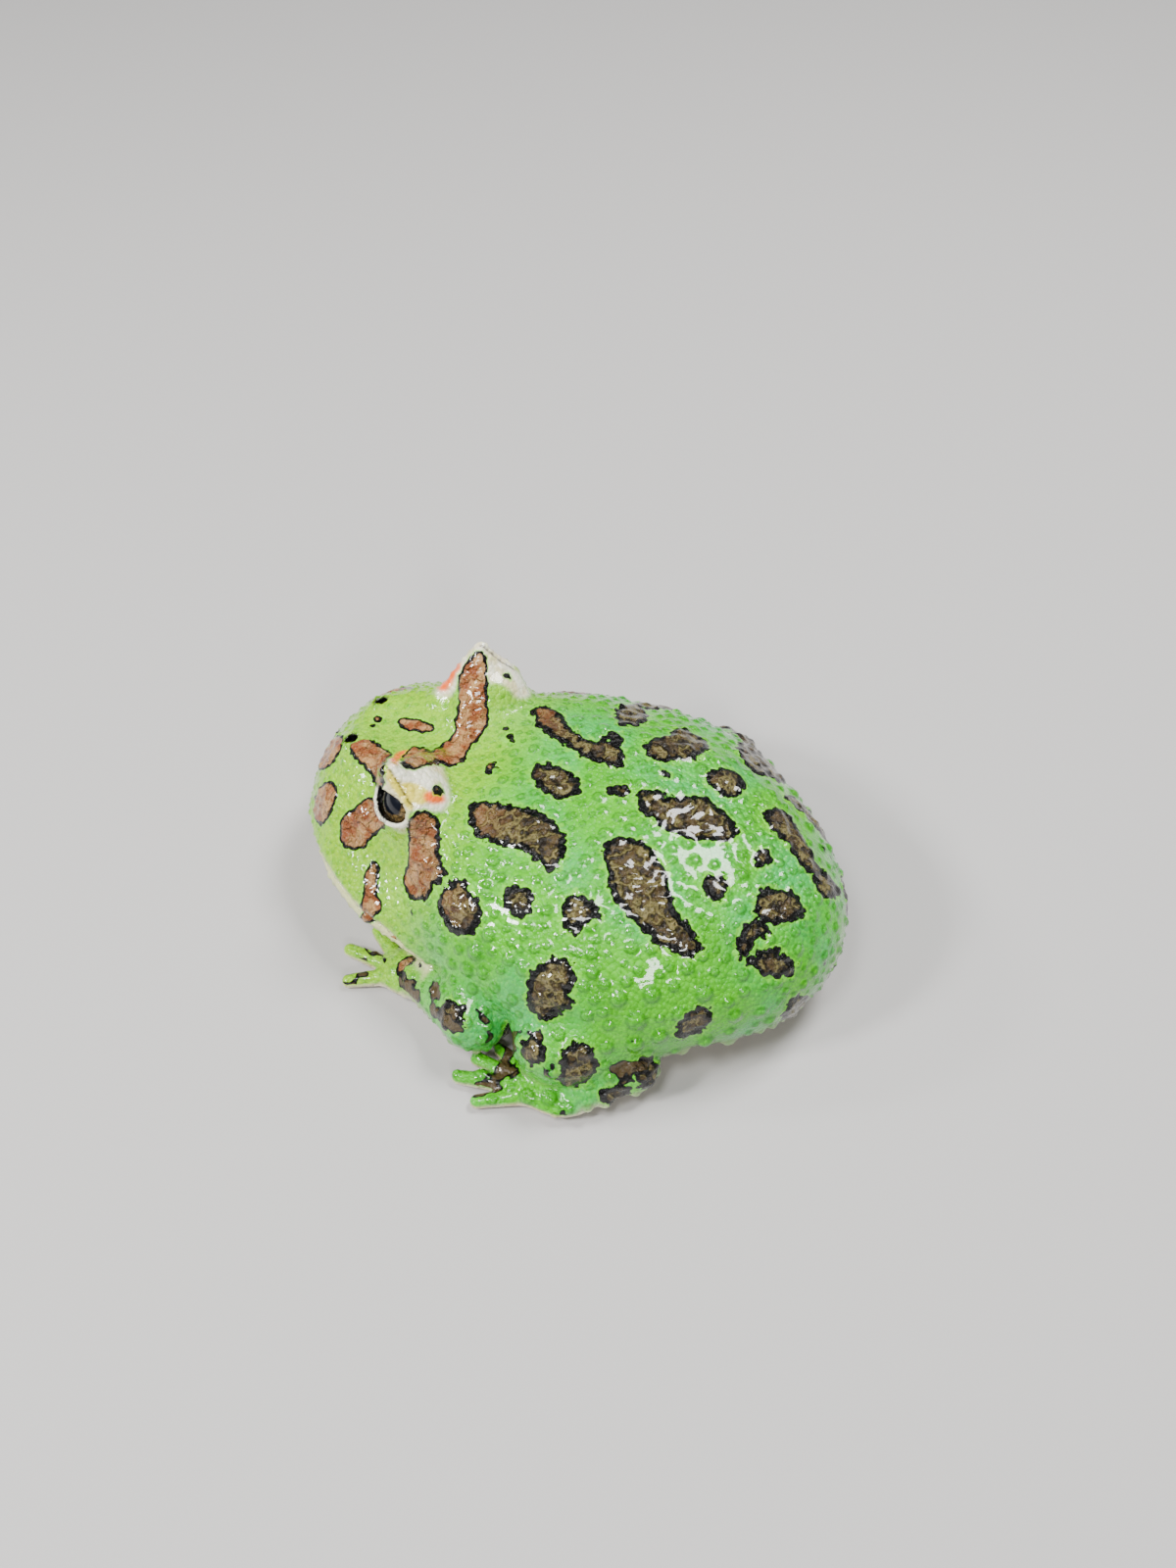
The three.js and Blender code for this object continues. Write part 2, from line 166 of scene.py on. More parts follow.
def ellipsoid(p, centre, radii):
    """The scaled radius less 1, times the scaled radius, over its own slope."""
    q = (p - np.float32(centre)) / np.float32(radii)
    near = np.linalg.norm(q, axis=-1)
    slope = np.linalg.norm(q / np.float32(radii), axis=-1)
    return near * (near - 1) / np.maximum(slope, TINY)


def from_line(p, a, b):
    """How far each point is from the line a to b, and how far along it, from 0 to 1."""
    a, d = np.float32(a), np.float32(b) - np.float32(a)
    q = p - a
    along = np.clip(q @ d / (d @ d), 0, 1)
    return np.linalg.norm(q - along[..., None] * d, axis=-1), along


def rod(p, a, b, radius_a, radius_b):
    """The distance from the line a to b, less a radius that runs from one value to the other."""
    off, along = from_line(p, a, b)
    return off - radius_a - along * (radius_b - radius_a)


def blended(parts, blend):
    """All the fields, joined softly one after another."""
    whole = parts[0]
    for part in parts[1:]:
        whole = smooth_min(whole, part, blend)
    return whole


def bell(x, width):
    """A bell curve: 1 where x is 0, and about a third where x is the width."""
    return np.exp(-((x / width) ** 2))


def catmull_rom(points, per_span):
    """A cubic through each pair of points, sloped there as the line between their neighbours."""
    points = np.asarray(points, float)
    ends = np.vstack([2 * points[0] - points[1], points, 2 * points[-1] - points[-2]])
    t = np.arange(per_span)[:, None] / per_span
    spans = []
    for a, b, c, d in zip(ends[:-3], ends[1:-2], ends[2:-1], ends[3:]):
        curve = 2 * b + (c - a) * t + (2 * a - 5 * b + 4 * c - d) * t**2
        spans.append((curve + (3 * b - a - 3 * c + d) * t**3) / 2)
    return np.vstack(spans + [points[-1:]])


MOUTH_STEPS = 10
mouth_curve = catmull_rom(MOUTH, MOUTH_STEPS)


def mouth_height(y):
    """The height of the mouth line at this y, read off its curve."""
    return np.interp(y, mouth_curve[:, 0], mouth_curve[:, 1])


def lips(p):
    """Bell curves: two rolls and a groove between, faded out behind the mouth's corner."""
    fade = 1 / (1 + np.exp((p[..., 1] - MOUTH_CORNER_Y) / MOUTH_FADE))
    up = p[..., 2] - mouth_height(p[..., 1])
    rolls = sum(swell * bell(up - height, width) for height, width, swell in LIPS)
    return fade * (rolls - LIP_GROOVE_DEPTH * bell(up, LIP_GROOVE_WIDTH))


def relief(p):
    """The sum of bell curves of the distance from each raised or hollow form's line."""
    return sum(height * bell(from_line(p, a, b)[0], width) for a, b, width, height in RELIEF)


def digits(p, root, lengths, angles):
    """Tapered rods fanned out from the root, at angles from straight ahead."""
    fan = []
    for length, angle in zip(lengths, np.radians(angles)):
        end = (
            root[0] + length * np.sin(angle),
            root[1] - length * np.cos(angle),
            DIGIT_TIP_HEIGHT,
        )
        start = (root[0], root[1], DIGIT_ROOT_HEIGHT)
        fan.append(rod(p, start, end, DIGIT_ROOT, DIGIT_TIP))
    return blended(fan, DIGIT_BLEND)


def foreleg(p):
    """Two rods for the arm, an ellipsoid for the palm, and its digits, joined softly."""
    thick, middle, thin = FORELEG["radii"]
    palm, lengths = FORELEG["palm"], np.array(FORELEG["lengths"])
    arm = smooth_min(
        rod(p, FORELEG["shoulder"], FORELEG["elbow"], thick, middle),
        rod(p, FORELEG["elbow"], FORELEG["wrist"], middle, thin),
        FORELEG["elbow_blend"],
    )
    fan = digits(p, palm[0], lengths + DIGIT_INSIDE * palm[1][1], FORELEG["angles"])
    return blended([arm, ellipsoid(p, *palm), fan], FORELEG["palm_blend"])


def hindleg(p):
    """Rods for thigh, shank and heel folded beside each other, a sole, and its digits."""
    hip, knee, calf, ankle, heel = HINDLEG["radii"]
    sole, lengths = HINDLEG["sole"], np.array(HINDLEG["lengths"])
    thigh = rod(p, HINDLEG["hip"], HINDLEG["knee"], hip, knee)
    shank = rod(p, HINDLEG["knee"], HINDLEG["ankle"], calf, ankle)
    tarsus = rod(p, HINDLEG["ankle"], HINDLEG["heel"], ankle, heel)
    fan = digits(p, sole[0], lengths + DIGIT_INSIDE * sole[1][1], HINDLEG["angles"])
    foot = blended([tarsus, ellipsoid(p, *sole), fan], HINDLEG["sole_blend"])
    return blended([thigh, shank, foot], HINDLEG["fold_blend"])


def flap(p, root_a, root_b, tip, root_radius, tip_radius):
    """The distance to a flat triangle, less a thickness that runs from the roots to the tip."""
    corners = [np.float32(corner) for corner in (root_a, root_b, tip)]
    normal = np.cross(corners[1] - corners[0], corners[2] - corners[0])
    off = np.abs((p - corners[0]) @ (normal / np.linalg.norm(normal)))
    edges, over = [], True
    for a, b in zip(corners, corners[1:] + corners[:1]):
        edges.append(from_line(p, a, b)[0])
        over = over & ((p - a) @ np.cross(normal, b - a) > 0)
    off = np.where(over, off, np.minimum(np.minimum(edges[0], edges[1]), edges[2]))
    up = from_line(p, (corners[0] + corners[1]) / 2, tip)[1]
    return off - root_radius - up * (tip_radius - root_radius)


def lid(p):
    """A shell round the eyeball, a cone that leans from the crown, and the horn's flap."""
    radius = EYE_RADIUS + EYE_CLEARANCE + LID_THICKNESS
    parts = [
        ellipsoid(p, EYE_CENTRE, (radius,) * 3),
        rod(p, *LID_CONE),
        flap(p, HORN_BROW, HORN_TEMPLE, HORN_TIP, HORN_ROOT_RADIUS, HORN_TIP_RADIUS),
    ]
    return blended(parts, HORN_BLEND)


def trunk(p):
    """The head's and body's ellipsoids joined softly, raised by the relief and the lips."""
    forms = [ellipsoid(p, *form) for form in (TORSO, RUMP, SHOULDERS, JAWS, CRANIUM, SNOUT)]
    return blended(forms, TRUNK_BLEND) - relief(p) - lips(p)


eye_side = np.cross([0, 0, 1], GAZE)
eye_side /= np.linalg.norm(eye_side)
eye_up = np.cross(GAZE, eye_side)
LID_RIM, LID_RIM_PLACE, LID_RIM_WIDTH = 0.3, 0.45, 0.4  # the lids' edges stand up a little
HOLLOW_EDGE = 0.3  # mm, how softly a hollow's edge is rounded
APERTURE_OUT, APERTURE_WIDE, APERTURE_HIGH, APERTURE_DEEP = 3.6, 2.8, 1.9, 3


def aperture(p):
    """The gap between the lids: an ellipsoid ahead of the eye, wider than high."""
    centre = np.array(EYE_CENTRE) + APERTURE_OUT * GAZE
    q = (p - centre.astype(np.float32)) @ np.float32([eye_side, eye_up, GAZE]).T
    return ellipsoid(q, (0, 0, 0), (APERTURE_WIDE, APERTURE_HIGH, APERTURE_DEEP))


def flesh(points):
    """The whole frog's field. Both sides are alike, so x counts as its size without sign."""
    p = np.asarray(points, np.float32)
    p = np.concatenate([np.abs(p[..., :1]), p[..., 1:]], axis=-1)
    body = smooth_min(lid(p), trunk(p), LID_INTO_HEAD)
    body = smooth_min(body, foreleg(p), FORELEG["body_blend"])
    body = smooth_min(body, hindleg(p), HINDLEG["body_blend"])
    body -= LID_RIM * bell(aperture(p) - LID_RIM_PLACE, LID_RIM_WIDTH)
    for hollow in (
        ellipsoid(p, EYE_CENTRE, (EYE_RADIUS + EYE_CLEARANCE,) * 3),
        aperture(p),
        ellipsoid(p, *NOSTRIL),
    ):
        body = -smooth_min(-body, hollow, HOLLOW_EDGE)
    return np.maximum(body, -p[..., 2])


# The field is read on a lattice that is finer over the head, and meshed where it is 0.
LATTICE_SIDE, LATTICE_LENGTH, LATTICE_TOP, LATTICE_FLOOR = 34.0, 37.0, 30.0, -0.95
HEAD_PITCH, BODY_PITCH, CROSS_PITCH = 0.32, 0.42, 0.38
NECK_Y, NECK_SPAN, RULER_MARKS = -6, 2, 400  # where the pitch along y changes
ruler = np.linspace(-LATTICE_LENGTH, LATTICE_LENGTH, RULER_MARKS)
pitch = HEAD_PITCH + (BODY_PITCH - HEAD_PITCH) / (1 + np.exp(-(ruler - NECK_Y) / NECK_SPAN))
steps = np.concatenate([[0], np.cumsum(np.diff(ruler) / pitch[:-1])])
lattice_y = np.interp(np.arange(int(steps[-1]) + 1), steps, ruler)
lattice_x = np.arange(-LATTICE_SIDE, LATTICE_SIDE, CROSS_PITCH)
lattice_z = np.arange(LATTICE_FLOOR, LATTICE_TOP, CROSS_PITCH)


def lattice_field():
    """The field at every lattice point, a slice of y at a time."""
    x, z = np.meshgrid(lattice_x, lattice_z, indexing="ij")
    field = np.empty((len(lattice_x), len(lattice_y), len(lattice_z)), np.float32)
    for j, y in enumerate(lattice_y):
        field[:, j] = flesh(np.stack([x, np.full_like(x, y), z], -1))
    return field


def slope_of(points, step=0.04):
    """The field's gradient, from differences along each axis."""
    shifts = np.eye(3, dtype=np.float32) * step
    return np.stack([(flesh(points + s) - flesh(points - s)) / (2 * step) for s in shifts], -1)


# Each vertex is then pulled onto the field's 0, by the field over its slope.
PULLS, PULL_LIMIT, LEAST_SLOPE = 2, 0.3, 0.05
grid = openvdb.FloatGrid()
grid.copyFromArray(lattice_field())
vertices, quads = grid.convertToQuads(0.0)
lattice = (lattice_x, lattice_y, lattice_z)
places = [np.interp(vertices[:, i], np.arange(len(line)), line) for i, line in enumerate(lattice)]
vertices = np.stack(places, -1).astype(np.float32)
for _ in range(PULLS):
    slope = slope_of(vertices)
    size = np.maximum((slope**2).sum(-1, keepdims=True), LEAST_SLOPE)
    vertices -= np.clip(flesh(vertices)[:, None] * slope / size, -PULL_LIMIT, PULL_LIMIT)
normals = slope_of(vertices)
normals /= np.maximum(np.linalg.norm(normals, axis=-1, keepdims=True), TINY)


# The markings
# Brown blotches with black scalloped rims on green skin. Each is an outline as it is seen in
# the photo, in its pixels, laid on the skin, or an uneven oval where the photo doesn't show
# the skin.
BLOTCH_OUTLINES = {
    "far brow bar": [
        (466, 708), (468, 688), (476, 675), (486, 665), (494, 666), (497, 681), (498, 708), (499, 735),
        (495, 746), (486, 758), (474, 762), (463, 752), (464, 736), (467, 722),
    ],
    "near brow bar": [
        (409, 780), (411, 771), (421, 761), (431, 763), (439, 765), (449, 760), (458, 753), (466, 746),
        (480, 742), (492, 744), (482, 760), (476, 773), (468, 782), (458, 784), (449, 780), (439, 781),
        (429, 784), (419, 786),
    ],
    "near shoulder": [
        (476, 829), (482, 819), (497, 817), (516, 820), (539, 825), (558, 832), (573, 846), (578, 860),
        (576, 875), (567, 890), (558, 889), (548, 880), (535, 872), (519, 865), (502, 861), (488, 856),
        (480, 844),
    ],
    "far shoulder": [
        (541, 727), (548, 720), (564, 723), (578, 735), (589, 748), (605, 756), (618, 754), (634, 761),
        (638, 778), (629, 783), (613, 781), (598, 774), (586, 767), (574, 759), (559, 751), (547, 741),
    ],
    "mid back": [
        (540, 791), (545, 782), (558, 779), (574, 781), (586, 789), (592, 801), (591, 812), (580, 817),
        (562, 813), (548, 803),
    ],
    "near flank": [
        (615, 863), (621, 855), (632, 852), (648, 856), (663, 863), (673, 875), (681, 889), (685, 910),
        (691, 928), (702, 941), (712, 957), (717, 970), (710, 977), (695, 976), (683, 972), (669, 965),
        (660, 953), (646, 941), (636, 928), (625, 918), (619, 898), (615, 880),
    ],
    "mid side": [
        (648, 811), (658, 805), (673, 807), (683, 813), (698, 811), (718, 813), (733, 823), (747, 836),
        (754, 850), (749, 859), (733, 860), (710, 858), (687, 852), (667, 840), (654, 828),
    ],
    "far side": [
        (656, 762), (663, 754), (679, 751), (691, 743), (706, 747), (720, 753), (723, 764), (714, 773),
        (698, 777), (679, 778), (663, 775),
    ],
    "small far": [
        (719, 793), (726, 786), (741, 784), (755, 790), (760, 801), (757, 812), (747, 815), (732, 809),
        (721, 800),
    ],
    "far edge": [
        (628, 735), (626, 727), (636, 719), (652, 719), (661, 727), (660, 737), (644, 742), (632, 741),
    ],
    "rear edge": [
        (751, 764), (757, 758), (770, 766), (782, 778), (788, 788), (780, 793), (767, 786), (756, 776),
    ],
    "rump": [
        (779, 832), (784, 825), (796, 824), (809, 836), (819, 852), (829, 871), (835, 883), (850, 898),
        (858, 910), (850, 917), (837, 916), (829, 898), (815, 883), (800, 860), (784, 848),
    ],
    "hip upper": [
        (768, 918), (776, 908), (792, 905), (811, 911), (819, 924), (822, 933), (807, 941), (790, 944),
        (774, 937),
    ],
    "hip front": [
        (751, 961), (757, 947), (768, 939), (781, 941), (786, 951), (772, 961), (763, 974), (753, 977),
    ],
    "hip lower": [(763, 982), (772, 970), (792, 968), (807, 980), (812, 992), (800, 998), (778, 996)],
    "ring": [(715, 898), (722, 893), (737, 894), (744, 904), (739, 917), (728, 921), (718, 910)],
    "dot rear": [(768, 871), (774, 866), (784, 869), (788, 879), (781, 887), (772, 883)],
    "dot spine": [(619, 807), (628, 801), (642, 803), (644, 810), (632, 813), (623, 812)],
    "arm": [
        (512, 916), (516, 906), (527, 902), (541, 907), (545, 920), (539, 933), (527, 937), (516, 928),
    ],
    "low flank": [
        (573, 924), (580, 913), (593, 912), (611, 926), (612, 937), (597, 943), (588, 953), (576, 949),
        (572, 937),
    ],
    "knee": [
        (538, 1003), (545, 988), (562, 977), (580, 980), (588, 996), (584, 1013), (586, 1023), (566, 1038),
        (549, 1039), (539, 1027),
    ],
    "dot neck": [(494, 788), (496, 780), (504, 778), (507, 784), (500, 790)],
    "dot nape": [(515, 756), (517, 750), (523, 748), (525, 754), (520, 758)],
    "dot far": [(673, 788), (681, 786), (683, 793), (675, 794)],
    "dot far shoulder": [(616, 751), (625, 746), (636, 751), (634, 759), (621, 758)],
    "cheek": [
        (414, 840), (424, 829), (440, 828), (450, 842), (449, 860), (451, 879), (457, 895), (448, 902),
        (438, 916), (424, 919), (414, 912), (411, 895), (416, 879), (416, 860),
    ],
    "below eye": [
        (346, 848), (350, 832), (364, 821), (378, 813), (387, 825), (393, 838), (383, 852), (374, 865),
        (360, 868), (349, 862),
    ],
    "nostril band": [
        (350, 750), (359, 740), (370, 745), (381, 755), (393, 763), (401, 770), (395, 777), (392, 789),
        (391, 803), (385, 804), (379, 794), (370, 783), (361, 773), (356, 764),
    ],
    "lip front": [(320, 825), (325, 805), (337, 797), (344, 803), (343, 821), (333, 838), (324, 842)],
    "lip tip": [(323, 778), (329, 764), (344, 751), (352, 753), (348, 766), (337, 782), (327, 787)],
    "snout": [(404, 737), (411, 732), (426, 733), (442, 739), (443, 746), (430, 748), (414, 745)],
    "jaw stripe": [
        (368, 926), (370, 902), (374, 885), (383, 879), (388, 889), (386, 910), (387, 933), (383, 949),
        (376, 953),
    ],
    "behind jaw": [
        (446, 918), (457, 902), (473, 898), (488, 918), (492, 937), (484, 953), (467, 955), (453, 941),
    ],
    "dot snout": [(380, 733), (384, 729), (389, 732), (388, 737), (382, 738)],
    "dot horn": [(514, 690), (517, 686), (522, 690), (519, 694)],
    "dot lid": [(442, 805), (445, 801), (451, 802), (453, 807), (448, 811), (443, 810)],
}
CREAM_OUTLINES = {
    "far horn": [
        (446, 709), (450, 700), (457, 685), (470, 668), (484, 658), (494, 655), (505, 660), (517, 670),
        (527, 684), (535, 697), (540, 709), (527, 711), (519, 702), (508, 696), (496, 696), (480, 690),
        (468, 694), (464, 704), (457, 711),
    ],
    "near lid": [
        (392, 786), (398, 770), (410, 766), (408, 778), (424, 784), (446, 780), (455, 796), (457, 818),
        (448, 828), (430, 826), (416, 830), (420, 846), (408, 848), (396, 838), (388, 816), (386, 796),
    ],
}
YELLOW_OUTLINES = {
    "lid edge": [
        (390, 786), (394, 778), (400, 786), (408, 799), (415, 811), (423, 823), (417, 827), (406, 812),
        (397, 799),
    ],
    "lid patch": [(410, 800), (424, 799), (437, 807), (436, 818), (424, 821), (414, 812)],
}
ORANGE_OUTLINES = {
    "far horn": [(448, 703), (452, 690), (459, 680), (467, 675), (470, 681), (463, 692), (456, 704)],
    "near lid": [(434, 810), (442, 807), (452, 811), (453, 818), (442, 820), (434, 816)],
    "near horn": [(399, 776), (406, 769), (416, 763), (420, 767), (410, 774), (403, 781)],
}
# Where the skin turns sharply, on brow and horns, a mark is laid along the line of sight.
ALONG_SIGHT = {
    "far brow bar", "near brow bar", "nostril band", "dot lid", "dot horn", "far horn",
    "near lid", "lid edge", "lid patch", "near horn",
}
LID_CREASE = [(395, 781), (402, 791), (411, 807), (421, 823)]
# The far side, the rear and the limbs: a place near the skin, half length, half width, turn.
HIDDEN_BLOTCHES = [
    ((-20, 2, 14), 5.5, 2.6, 20), ((-22, 12, 9), 4.2, 3.0, -15), ((-16, -8, 14), 3.6, 2.4, 40),
    ((-19, -2, 6), 3.6, 2.2, 10), ((-12, 24, 13), 5.0, 2.4, 30), ((-17, 18, 15), 3.4, 2.2, -40),
    ((-7, 31, 9), 3.8, 2.2, 10), ((7, 32, 8), 3.2, 2.0, -20), ((0, 34, 6), 2.4, 1.6, 0),
    ((-13, -21, 13), 2.2, 3.4, 30), ((-16.5, -12, 13), 2.4, 4.4, 20), ((-9, -29, 11), 2.0, 2.8, 0),
    ((-18, -14, 8), 1.6, 3.2, 15), ((-6, -29, 16), 1.5, 3.4, 35), ((0, -33, 12), 2.2, 1.6, 0),
    ((26, 14, 8), 3.6, 2.2, 20), ((-26, 14, 8), 3.6, 2.2, -20), ((27, 9, 9), 2.2, 1.6, 0),
    ((-27, 8, 9), 2.2, 1.8, 0), ((26, -2, 7), 2.4, 1.8, 30), ((-26, -2, 7), 2.6, 1.8, -30),
    ((-24, -6, 5), 1.8, 2.2, 0), ((22, 22, 6), 2.4, 1.8, 0), ((-22, 22, 6), 2.4, 1.8, 0),
    ((26, 19, 4), 1.4, 2.0, 0), ((-26, 19, 4), 1.4, 2.0, 0), ((25, 11, 3), 1.6, 1.6, 0),
    ((-25, 11, 3), 1.6, 1.6, 0), ((21, -12, 3.4), 1.2, 1.8, 0), ((-21, -12, 3.4), 1.2, 1.8, 0),
    ((18, 25, 12), 2.6, 1.8, 40), ((23, 3, 4), 2.8, 1.8, 10), ((-24, 4, 4), 2.6, 1.8, -10),
]
FAR_LID = [((-13.4, -17, 22.6), 4.0, 2.8, 0)]  # its cream outer face
SPOT_REACH = 3.0  # mm, how far from a rim its distance is still kept


def photo_rays(pixels):
    """For each pixel, the direction from the camera through it."""
    pixels = np.asarray(pixels, float)
    across = (pixels[:, 0] - PHOTO_WIDTH / 2) / FOCAL_PIXELS
    down = (pixels[:, 1] - PHOTO_HEIGHT / 2) / FOCAL_PIXELS
    rays = across[:, None] * view_right - down[:, None] * view_up - view_back
    return rays / np.linalg.norm(rays, axis=-1, keepdims=True)


RAY_START, RAY_STEPS = CAMERA_DISTANCE - 60.0, 120
RAY_PACE, RAY_LEAST_STEP, RAY_REACHED = 0.6, 0.02, 0.01


def on_skin(pixels):
    """Where each ray meets the skin, or passes nearest: each step is a share of the field."""
    rays = photo_rays(pixels)
    far = np.full(len(rays), RAY_START)
    best, best_far = np.full(len(rays), np.inf), far.copy()
    for _ in range(RAY_STEPS):
        gap = flesh(camera_place + rays * far[:, None])
        closer = gap < best
        best[closer], best_far[closer] = gap[closer], far[closer]
        far = far + np.where(gap > RAY_REACHED, np.maximum(RAY_PACE * gap, RAY_LEAST_STEP), 0)
    return camera_place + rays * best_far[:, None]


OUTLINE_STEPS, CREASE_STEPS = 4, 3  # curve points to each point of an outline or a line


def closed_curve(points):
    """An open curve that runs on past both ends of the outline, cut where it meets itself."""
    points = np.asarray(points, float)
    long = catmull_rom(np.vstack([points[-1:], points, points[:2]]), OUTLINE_STEPS)
    return long[OUTLINE_STEPS:-OUTLINE_STEPS]


def loop_distance(xy, loop):
    """Signed distance in the plane to a closed loop: the least to any side, minus inside."""
    a, b = loop, np.roll(loop, -1, axis=0)
    d, least = b - a, 1e-9
    q = xy[:, None] - a
    t = np.clip((q * d).sum(-1) / np.maximum((d**2).sum(-1), least), 0, 1)
    off = np.linalg.norm(q - t[..., None] * d, axis=-1).min(1)
    rises = (a[:, 1] > xy[:, None, 1]) != (b[:, 1] > xy[:, None, 1])
    drop = np.where(d[:, 1] == 0, least, d[:, 1])
    cross = a[:, 0] + (xy[:, None, 1] - a[:, 1]) * d[:, 0] / drop
    inside = (rises & (xy[:, None, 0] < cross)).sum(1) % 2 == 1
    return np.where(inside, -off, off)


FACING, FACING_AWAY = 0.1, -0.3  # least cosine of skin to mark, across it and along the sight
MARK_DEPTH = 3.5  # mm, so that no mark comes out on the other side of a horn
ASIDE = (0.31, 0.17, 0.94)  # any way that isn't a mark's normal


def lay_on_skin(distances, loop, normal, facing=FACING):
    """Takes a loop in space to the plane across its normal, and keeps the least distance."""
    normal = normal / np.linalg.norm(normal)
    centre = loop.mean(0)
    side = np.cross(normal, ASIDE)
    side /= np.linalg.norm(side)
    axes = np.stack([side, np.cross(normal, side)])
    reach = np.linalg.norm(loop - centre, axis=-1).max() + SPOT_REACH
    near = np.linalg.norm(vertices - centre, axis=-1) < reach
    near &= normals @ normal > facing
    near &= (vertices - centre) @ normal > -MARK_DEPTH
    found = loop_distance((vertices[near] - centre) @ axes.T, (loop - centre) @ axes.T)
    distances[near] = np.minimum(distances[near], found)


def photo_marks(outlines):
    """The distance from every vertex to the nearest of these outlines in the photo."""
    distances = np.full(len(vertices), SPOT_REACH)
    for name, points in outlines.items():
        loop = closed_curve(on_skin(points))
        if name in ALONG_SIGHT:
            lay_on_skin(distances, loop, -photo_rays(points).mean(0), FACING_AWAY)
        else:
            lay_on_skin(distances, loop, slope_of(np.float32(loop)).mean(0))
    return distances


OVAL_POINTS, OVAL_WAVES, OVAL_WAVE_SIZE, FULL_TURN = 40, (2, 3, 4), 0.13, 6.3
BLOTCH_SEED, FAR_LID_SEED = 7, 8


def hidden_marks(distances, ovals, seed):
    """Adds an uneven oval at each hidden place: a radius with a few waves of random size."""
    draw = np.random.default_rng(seed)
    angle = np.linspace(0, 2 * np.pi, OVAL_POINTS, endpoint=False)
    for place, half_long, half_wide, turn in ovals:
        at = np.linalg.norm(vertices - np.array(place), axis=-1).argmin()
        normal = normals[at].astype(float)
        along = np.cross([0, 0, 1], normal)
        along = np.cross(normal, along / max(np.linalg.norm(along), TINY))
        across = np.cross(normal, along)
        wave = sum(
            draw.normal(0, OVAL_WAVE_SIZE / k) * np.cos(k * angle + draw.uniform(0, FULL_TURN))
            for k in OVAL_WAVES
        )
        oval = np.stack([half_wide * np.cos(angle), half_long * np.sin(angle)], -1)
        c, s = np.cos(np.radians(turn)), np.sin(np.radians(turn))
        flat = (1 + wave)[:, None] * oval @ np.array([[c, s], [-s, c]])
        loop = vertices[at] + flat[:, :1] * across + flat[:, 1:] * along
        lay_on_skin(distances, loop, normal)
    return distances


def line_distance(pixels):
    """How far each vertex is from the line through these pixels, laid on the skin."""
    line = on_skin(catmull_rom(pixels, CREASE_STEPS))
    return np.min([from_line(left, a, b)[0] for a, b in zip(line[:-1], line[1:])], axis=0)


left = vertices.copy()
left[:, 0] = np.abs(left[:, 0])  # every vertex, or its mirror image on the left side
spot = hidden_marks(photo_marks(BLOTCH_OUTLINES), HIDDEN_BLOTCHES, BLOTCH_SEED)
cream = hidden_marks(photo_marks(CREAM_OUTLINES), FAR_LID, FAR_LID_SEED)
yellow = photo_marks(YELLOW_OUTLINES)
orange = photo_marks(ORANGE_OUTLINES)
crease = line_distance(LID_CREASE)


# The warts
# Rounded glassy tubercles, close and large on the flanks, fine on the head and limbs, none
# on the belly. Each rises from the skin as a low dome.
WART_SEED, WART_TRIES = 11, 26000
WART_LOWEST, WART_LEAST_UP = 1.5, -0.45  # none lower, or where the skin faces further down
WART_RADIUS, FLANK_MORE, HEAD_LESS, LIMB_LESS = 0.56, 0.36, 0.2, 0.12
WART_CHANCE = (0.65, 1.35)  # the least and the most of that radius
WART_GAP, WART_GAP_CHANCE = 1.2, 0.9  # centres apart, as a share of both radii
WART_HEIGHT, WART_WIDTH = 0.56, 0.84  # shares of a wart's radius
WART_REACH, WART_CELL = 2.2, 3
# The mm over which the flank, the head and the limbs change into the rest.
FLANK_X, FLANK_Y, FLANK_TOP, FLANK_DEPTH = (9, 17), (-8, 0), 19, (0, 7)
HEAD_Y, LIMB_X = (-12, -4), (22, 25)


def between(x, low, high):
    """0 below low, 1 above high, and between them 3 t squared less 2 t cubed."""
    t = np.clip((x - low) / (high - low), 0, 1)
    return t * t * (3 - 2 * t)


def wart_radius(p, draw):
    """Larger low on the flanks, smaller on head and limbs, each with its own chance."""
    x, y, z = np.abs(p[:, 0]), p[:, 1], p[:, 2]
    flank = between(x, *FLANK_X) * between(FLANK_TOP - z, *FLANK_DEPTH) * between(y, *FLANK_Y)
    head = 1 - between(y, *HEAD_Y)
    limb = between(x, *LIMB_X)
    radius = WART_RADIUS + FLANK_MORE * flank - HEAD_LESS * head - LIMB_LESS * limb
    return radius * draw.uniform(*WART_CHANCE, len(p))


